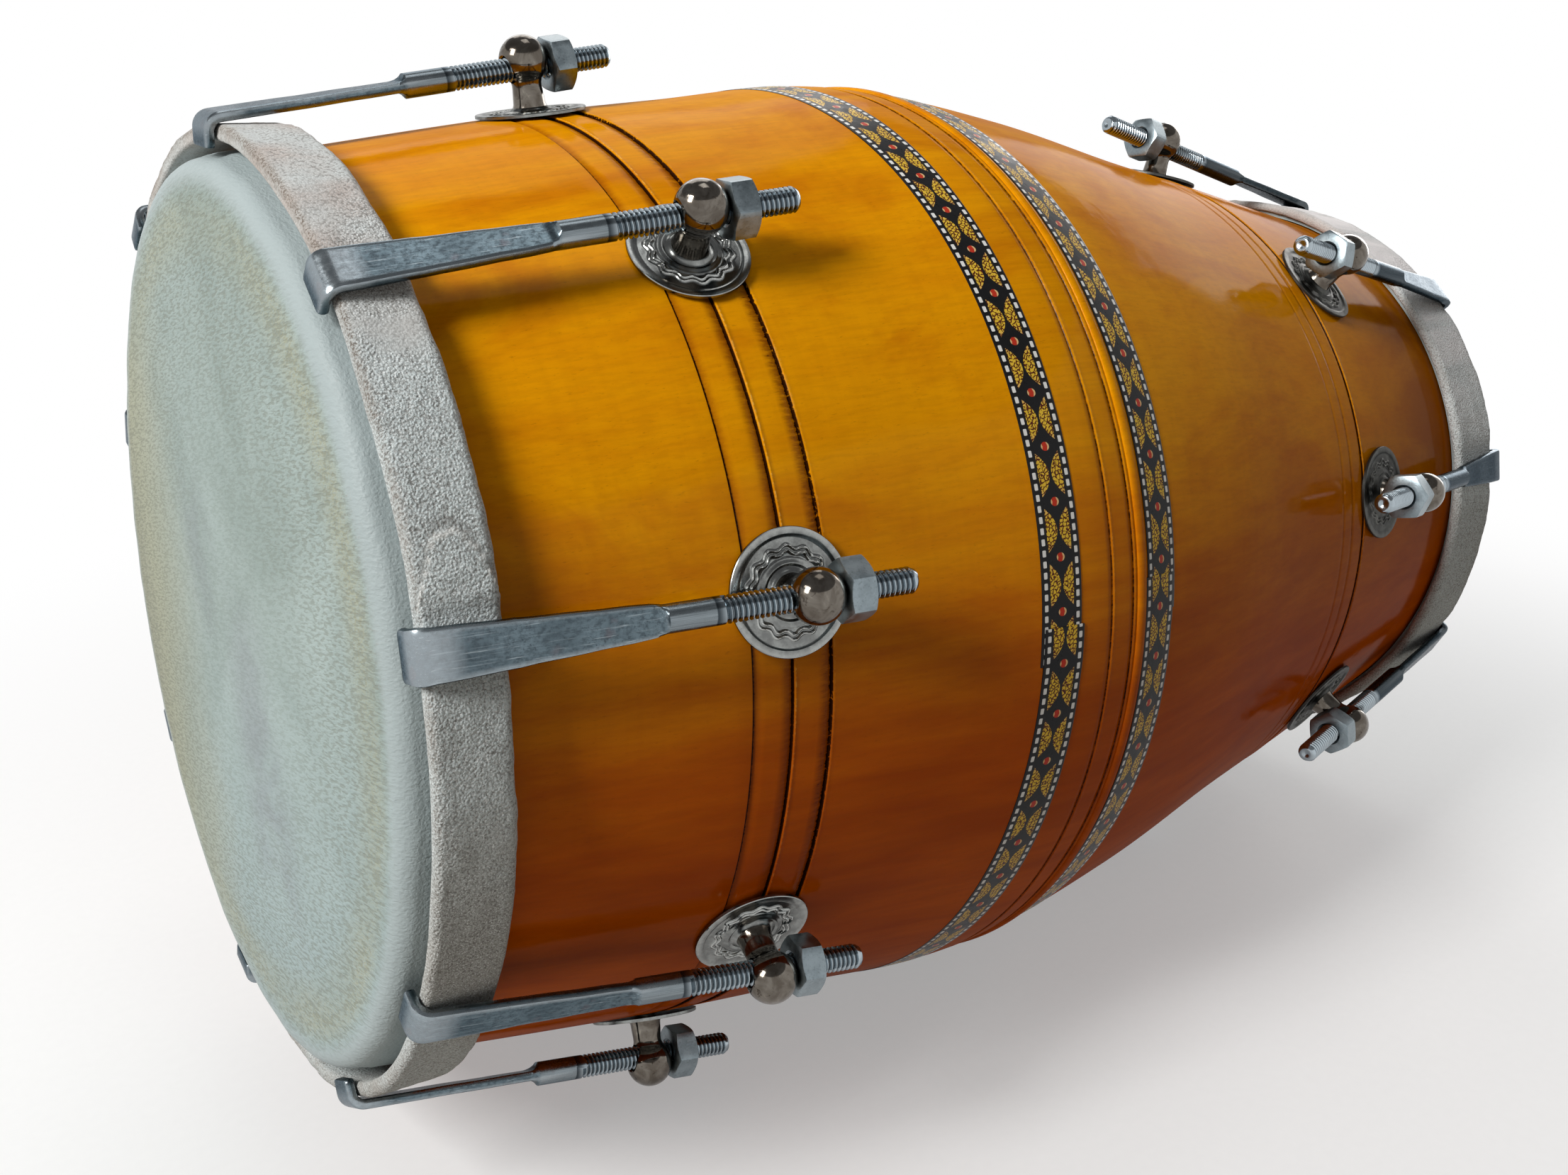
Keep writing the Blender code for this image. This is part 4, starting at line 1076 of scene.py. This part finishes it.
def bored(name, mesh, tools):
    """The mesh with the tools' solids cut out of it."""
    piece = bpy.data.objects.new(name, mesh)
    bpy.context.collection.objects.link(piece)
    guides = []
    for tool, matrix in tools:
        guide = bpy.data.objects.new(f"{name}_guide", tool)
        bpy.context.collection.objects.link(guide)
        guide.matrix_world = matrix
        guides.append(guide)
        cut = piece.modifiers.new("cut", "BOOLEAN")
        cut.operation = "DIFFERENCE"
        cut.solver = "EXACT"
        cut.object = guide
    bpy.context.view_layer.update()
    graph = bpy.context.evaluated_depsgraph_get()
    result = bpy.data.meshes.new_from_object(piece.evaluated_get(graph))
    for old in (piece, *guides):
        bpy.data.objects.remove(old, do_unlink=True)
    result.shade_smooth()
    result.set_sharp_from_angle(angle=math.radians(30))
    return result


class DHOLAK_OT_eye_bolts(bpy.types.Operator):
    """Stands the ball-headed eye bolts on their pressed washers"""
    bl_idname = "dholak.eye_bolts"
    bl_label = "Eye bolts"

    SEGMENTS = 64
    LOBES = 14

    def execute(self, context):
        material = nickel_finish()
        pressed = washer_finish()
        for end in ENDS:
            washer = self.washer_mesh(end)
            mesh = self.eye_mesh(end)
            for index in range(STATION_COUNT):
                name = f"eye_bolt_{end.name}_{index + 1}"
                seat = end.eye_seat(index)
                turned = seat @ Matrix.Rotation(math.radians(index * 83 + 17), 4, "Z")
                place(f"ball_{name}", mesh, seat, "drum", material, name)
                place(f"washer_{end.name}_{index + 1}", washer, turned, "drum", pressed, name)
        return {"FINISHED"}

    def eye_mesh(self, end):
        """Inner head, shank, waisted stem and ball, with side flats and a cross bore."""
        mm = [(-end.grip / MM - 4.3, 0.05), (-end.grip / MM - 4.3, 5.2), (-end.grip / MM - 4.0, 5.5),
              (-end.grip / MM - 0.3, 5.5), (-end.grip / MM - 0.3, 3.0), (0.9, 3.0), (1.5, 4.75),
              (2.3, 4.55), (2.9, 4.36), (4.2, 4.24), (5.6, 4.12), (6.8, 4.0), (7.6, 3.98), (8.2, 4.05),
              (8.65, 4.2)]
        ball = BALL_RADIUS / MM
        for degrees in range(-48, 86, 6):
            angle = math.radians(degrees)
            mm.append((BALL_HEIGHT / MM + ball * math.sin(angle), ball * math.cos(angle)))
        rows = [[(r * MM * math.cos(FULL_TURN * k / self.SEGMENTS),
                  r * MM * math.sin(FULL_TURN * k / self.SEGMENTS), z * MM)
                 for k in range(self.SEGMENTS)] for z, r in mm]
        blank = grid_mesh("eye_blank", rows, capped=True)
        lean = end.rod_tilt - end.eye_tilt
        cross = Matrix.Translation((0, 0, BALL_HEIGHT - ROD_BELOW_BALL)) @ Matrix.Rotation(
            -lean, 4, "Y")
        reach = 3 * BALL_RADIUS
        bore = 0.00352
        mouth = BALL_FLATS / 2
        outline = [(-reach, bore + 0.0008), (-mouth - 0.0004, bore + 0.0008), (-mouth + 0.0004, bore),
                   (mouth - 0.0004, bore), (mouth + 0.0004, bore + 0.0008), (reach, bore + 0.0008)]
        tools = []
        low = -BALL_RADIUS * 0.62
        for side in (-1, 1):
            near, far = sorted((side * mouth, side * reach))
            corners = [[(near, -reach, low), (near, reach, low), (near, reach, reach), (near, -reach, reach)],
                       [(far, -reach, low), (far, reach, low), (far, reach, reach), (far, -reach, reach)]]
            tools.append((grid_mesh("flat_guide", corners, capped=True), cross))
        tools.append((grid_mesh("bore_guide", lathe_rows(outline, 40), capped=True), cross))
        return bored(f"eye_bolt_{end.name}", blank, tools)

    def washer_mesh(self, end):
        """Pressed sheet: a flat outer ring, a recess, a double star line and a dome."""
        radii = [15.0, 15.0, 14.85, 14.4, 13.4, 13.1, 12.7, 12.3]
        radii += list(np.linspace(11.9, 7.7, 30)) + [7.2, 6.9, 6.6, 6.3, 6.0, 5.6, 5.2, 4.8, 4.5, 4.3]
        count = self.LOBES * 16
        rows, ridge, low = [], [], 0.3
        for n, r in enumerate(radii):
            ring = []
            for k in range(count):
                angle = FULL_TURN * k / count
                wave = math.cos(angle * self.LOBES)
                star = 0.48 * wave
                z = 1.15
                if n == 0:
                    z = 0.62
                elif n == 1:
                    z = 0.95
                z -= 0.36 * smooth((13.3 - r) / 0.6)
                proud = 0.0
                for line in (10.35, 9.15):
                    proud += math.exp(-(((r - line - star) / 0.34) ** 2))
                z += 0.42 * proud
                rub = max(1 - abs(r - 14.6) / 0.5, 0.0)
                # ridge marks the raised lines and the rubbed outer ring, painted bright as polish and highlight
                ridge.append(smooth((proud - 0.45) / 0.5) + 0.6 * smooth(rub))
                z += 0.30 * smooth((8.4 - r) / 0.7)
                z += 0.34 * math.exp(-(((r - 6.7) / 0.45) ** 2))
                z += 1.0 * smooth((6.0 - r) / 1.5)
                ring.append((r * MM * math.cos(angle), r * MM * math.sin(angle), z * MM))
            rows.append(ring)
        under = []
        for r in (4.3, 15.0):
            under.append([(r * MM * math.cos(FULL_TURN * k / count),
                           r * MM * math.sin(FULL_TURN * k / count), low * MM) for k in range(count)])
        ridge += [0.0] * (2 * count)
        aged = [0.0 if end.side > 0 else 1.0] * len(ridge)
        return grid_mesh(f"washer_{end.name}", rows + under, ring=True,
                         marks={"ridge": ridge, "aged": aged})


class DHOLAK_OT_nuts(bpy.types.Operator):
    """Cuts the hexagon nuts with chamfered corners"""
    bl_idname = "dholak.nuts"
    bl_label = "Tension nuts"

    SIDE_STEPS = 10
    TURNS_BIG = (0, 17, 41, 8, 33, 52, 12, 24, 7)
    TURNS_SMALL = (36, 0, 0, 14, 47, 22, 9, 18, 31)

    def execute(self, context):
        material = zinc_finish()
        mesh = self.nut_mesh()
        seat = Matrix.Translation((BALL_FLATS / 2 + GAP + NUT_THICKNESS / 2, 0, 0))
        for end, turns in ((BIG, self.TURNS_BIG), (SMALL, self.TURNS_SMALL)):
            for index in range(STATION_COUNT):
                name = f"tension_nut_{end.name}_{index + 1}"
                turn = Matrix.Rotation(math.radians(turns[index]), 4, "X")
                place(f"hex_{name}", mesh, end.rod_axis(index) @ seat @ turn, name,
                      material, name)
        return {"FINISHED"}

    def nut_mesh(self):
        count = 6 * self.SIDE_STEPS
        half = NUT_THICKNESS / 2
        apothem = NUT_FLATS / 2
        face = apothem * 0.955
        bore = ROD_RADIUS + 0.00015

        def hexagon(angle):
            local = (angle + math.pi / 6) % (math.pi / 3) - math.pi / 6
            return min(apothem / math.cos(local), apothem * 1.135)

        def drop(angle):
            return (hexagon(angle) - face) * math.tan(math.radians(27))

        outline = [
            (lambda a: -half + 0.0005, lambda a: bore),
            (lambda a: -half, lambda a: bore + 0.0006),
            (lambda a: -half, lambda a: face),
            (lambda a: -half + drop(a), hexagon),
            (lambda a: half - drop(a), hexagon),
            (lambda a: half, lambda a: face),
            (lambda a: half, lambda a: bore + 0.0006),
            (lambda a: half - 0.0005, lambda a: bore),
        ]
        rows = []
        for x_of, r_of in outline:
            ring = []
            for k in range(count):
                angle = FULL_TURN * k / count
                ring.append((x_of(angle), r_of(angle) * math.sin(angle), r_of(angle) * math.cos(angle)))
            rows.append(ring)
        return grid_mesh("tension_nut", rows, ring=True)


class DHOLAK_OT_bands(bpy.types.Operator):
    """Sticks the two printed bands round the belly"""
    bl_idname = "dholak.bands"
    bl_label = "Ornament bands"

    STEPS = 300
    # Name, from and to in mm from the big edge, angle of the splice in degrees, drift of the end
    BANDS = (("ornament_band_big", 156.8, 169.2, -11.3, 0.9), ("ornament_band_small", 194.0, 205.6, -8.0, -0.8))

    def execute(self, context):
        material = tape_finish()
        for name, low, high, splice, drift in self.BANDS:
            self.stick(name, low, high, splice, drift, material)
        return {"FINISHED"}

    def stick(self, name, low, high, splice, drift, material):
        thick = sizes().tape_thickness
        middle = (low + high) / 2
        radius = shell_radius(middle * MM)
        overlap = 4.0
        turn = 360.0 + overlap
        shares = [0.0, 0.0, 0.02, 0.06, *np.linspace(0.12, 0.88, 9), 0.94, 0.98, 1.0, 1.0]
        points, tape = [], []
        for i in range(self.STEPS + 1):
            degrees = splice + turn * i / self.STEPS
            angle = math.radians(degrees)
            over = smooth((degrees - splice - 360.0 + 2.0) / 2.0)
            sway = drift * smooth((i / self.STEPS - 0.93) / 0.07)
            row = []
            for n, share in enumerate(shares):
                x = (low + (high - low) * share + sway) * MM
                lift = thick * (1.0 + over)
                if n in (0, len(shares) - 1):
                    lift = thick * over - 0.00008
                elif n in (1, len(shares) - 2):
                    lift -= thick * 0.35
                r = shell_radius(x) + lift
                row.append((x, -r * math.cos(angle), r * math.sin(angle)))
                run = radius * math.radians(degrees - splice) / MM
                tape.append((run, (share - 0.5) * 12.4))
            points.append(row)
        points = np.asarray(points)
        rows, columns = points.shape[:2]
        # The underside is a second sheet just inside the wood
        centre = points.copy()
        scale = np.sqrt(points[..., 1] ** 2 + points[..., 2] ** 2)
        inner = scale - thick - 0.00008
        centre[..., 1] *= inner / scale
        centre[..., 2] *= inner / scale
        loop = np.concatenate([points, centre[:, 1:-1][:, ::-1]], axis=1)
        mesh = grid_mesh(name, loop, capped=True)
        columns_all = loop.shape[1]
        layer = mesh.uv_layers.new(name="tape")
        uv = np.zeros((rows, columns_all, 2))
        uv[:, :columns] = np.asarray(tape).reshape(rows, columns, 2)
        uv[:, columns:] = uv[:, 1:columns - 1][:, ::-1]
        uv = uv.reshape(-1, 2)
        corner = np.empty(len(mesh.loops), dtype=np.int32)
        mesh.loops.foreach_get("vertex_index", corner)
        layer.data.foreach_set("uv", uv[corner].astype(np.float32).ravel())
        place(name, mesh, settle(mesh, DRUM), "drum", material)


class DHOLAK_OT_compound(bpy.types.Operator):
    """Gives the tuning compound inside the big skin its finish"""
    bl_idname = "dholak.compound"
    bl_label = "Tuning compound"

    def execute(self, context):
        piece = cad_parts["inner_compound"]
        piece.data.materials.clear()
        piece.data.materials.append(compound_finish())
        return {"FINISHED"}


def area_lamp(name, place_at, target, size, power, colour=(1.0, 1.0, 1.0), size_y=None):
    lamp = bpy.data.objects.new(name, bpy.data.lights.new(name, "AREA"))
    lamp.data.shape = "RECTANGLE"
    lamp.data.size = size
    lamp.data.size_y = size_y or size
    lamp.data.energy = power
    lamp.data.color = colour
    lamp.location = place_at
    lamp.rotation_euler = (Vector(target) - Vector(place_at)).to_track_quat("-Z", "Y").to_euler()
    bpy.context.collection.objects.link(lamp)
    return lamp


class DHOLAK_OT_stage(bpy.types.Operator):
    """Adds the floor, the soft light and the camera"""
    bl_idname = "dholak.stage"
    bl_label = "Stage"

    def execute(self, context):
        context.scene.view_settings.view_transform = "Standard"
        self.floor(context)
        self.light(context)
        self.camera(context)
        return {"FINISHED"}

    def floor(self, context):
        outline = [(0.0, 0.02), (0.0, 1.0), (0.0, 2.4)]
        outline += [(0.8 - 0.8 * math.cos(math.radians(a)), 2.4 + 0.8 * math.sin(math.radians(a)))
                    for a in range(10, 91, 10)]
        outline.append((2.2, 3.2))
        rows = [[(r * math.cos(FULL_TURN * k / 96), r * math.sin(FULL_TURN * k / 96), z)
                 for k in range(96)] for z, r in outline]
        mesh = grid_mesh("floor", rows)
        mesh.flip_normals()
        bm = bmesh.new()
        bm.from_mesh(mesh)
        bmesh.ops.holes_fill(bm, edges=[e for e in bm.edges if e.is_boundary and e.verts[0].co.z < 0.01])
        bm.to_mesh(mesh)
        bm.free()
        floor = bpy.data.objects.new("floor", mesh)
        context.collection.objects.link(floor)
        f = Finish("pale_floor", Roughness=0.7, Specular_IOR_Level=0.2)
        grain = f.noise(300.0, detail=3.0)
        away = f.add("VectorMath", {0: f.place}, output=1, operation="LENGTH")
        near = f.mix(grain, (0.84, 0.84, 0.84), (0.88, 0.88, 0.88))
        far = f.span(away, 0.22, 0.62, 0.35, 1.0)
        path = f.nodes.new("ShaderNodeLightPath")
        seen = f.math("MAXIMUM", path.outputs["Is Camera Ray"], path.outputs["Is Glossy Ray"])
        seen = f.math("MAXIMUM", seen, path.outputs["Is Transmission Ray"])
        f.set(Base_Color=f.mix(seen, (0.34, 0.31, 0.28), near))
        white = f.add("Emission", {"Color": (1.0, 1.0, 1.0), "Strength": 1.0})
        shown = f.add("MixShader", {0: f.math("MULTIPLY", far, seen), 1: f.shader.outputs[0], 2: white})
        f.links.new(shown, f.nodes["Material Output"].inputs["Surface"])
        mesh.materials.append(f.material)

    def light(self, context):
        world = bpy.data.worlds.new("studio")
        world.use_nodes = True
        sky = world.node_tree.nodes["Background"]
        sky.inputs["Color"].default_value = (0.97, 0.98, 1.0, 1.0)
        sky.inputs["Strength"].default_value = 0.24
        context.scene.world = world
        target = (0.0, 0.0, 0.14)
        area_lamp("window", (-1.55, -0.22, 1.27), target, 0.5, 34.0, (1.0, 0.99, 0.97), 0.7)
        area_lamp("back_light", (0.7, 1.5, 1.6), target, 1.3, 9.0, (1.0, 0.98, 0.96))
        area_lamp("side_fill", (1.95, 0.72, 0.55), target, 1.2, 20.0, (1.0, 0.98, 0.96))
        area_lamp("overhead", (0.25, 0.05, 1.85), target, 0.6, 2.0)
        area_lamp("gleam_bend", (-1.38, 0.21, 1.42), (-0.21, -0.1, 0.25), 0.22, 1.1)

    def camera(self, context):
        data = bpy.data.cameras.new("camera")
        data.lens = 33.67
        data.sensor_width = 36.0
        data.sensor_fit = "HORIZONTAL"
        data.clip_start = 0.01
        camera = bpy.data.objects.new("camera", data)
        context.collection.objects.link(camera)
        turn = Matrix((CAMERA_RIGHT, CAMERA_UP, -Vector(CAMERA_FORWARD))).transposed().to_4x4()
        camera.matrix_world = DRUM @ Matrix.Translation(CAMERA_PLACE) @ turn
        context.scene.camera = camera


class DHOLAK_PT_sidebar(bpy.types.Panel):
    bl_label = "Dholak"
    bl_idname = "DHOLAK_PT_sidebar"
    bl_space_type = "VIEW_3D"
    bl_region_type = "UI"
    bl_category = "Dholak"

    def draw(self, context):
        for group in (context.scene.dholak_sizes, context.scene.dholak_colours):
            for key in group.__annotations__:
                self.layout.prop(group, key)
        for step in STEPS:
            self.layout.operator(step.bl_idname)


STEPS = (DHOLAK_OT_shell, DHOLAK_OT_bands, DHOLAK_OT_skins, DHOLAK_OT_rims, DHOLAK_OT_hook_bolts,
         DHOLAK_OT_eye_bolts, DHOLAK_OT_nuts, DHOLAK_OT_compound, DHOLAK_OT_stage)
CLASSES = (DHOLAK_PG_sizes, DHOLAK_PG_colours, *STEPS, DHOLAK_PT_sidebar)


def register():
    for cls in CLASSES:
        bpy.utils.register_class(cls)
    bpy.types.Scene.dholak_sizes = bpy.props.PointerProperty(type=DHOLAK_PG_sizes)
    bpy.types.Scene.dholak_colours = bpy.props.PointerProperty(type=DHOLAK_PG_colours)


def unregister():
    del bpy.types.Scene.dholak_colours
    del bpy.types.Scene.dholak_sizes
    for cls in reversed(CLASSES):
        bpy.utils.unregister_class(cls)


def main():
    register()
    for step in STEPS:
        group, name = step.bl_idname.split(".")
        getattr(getattr(bpy.ops, group), name)()


if __name__ == "__main__":
    main()
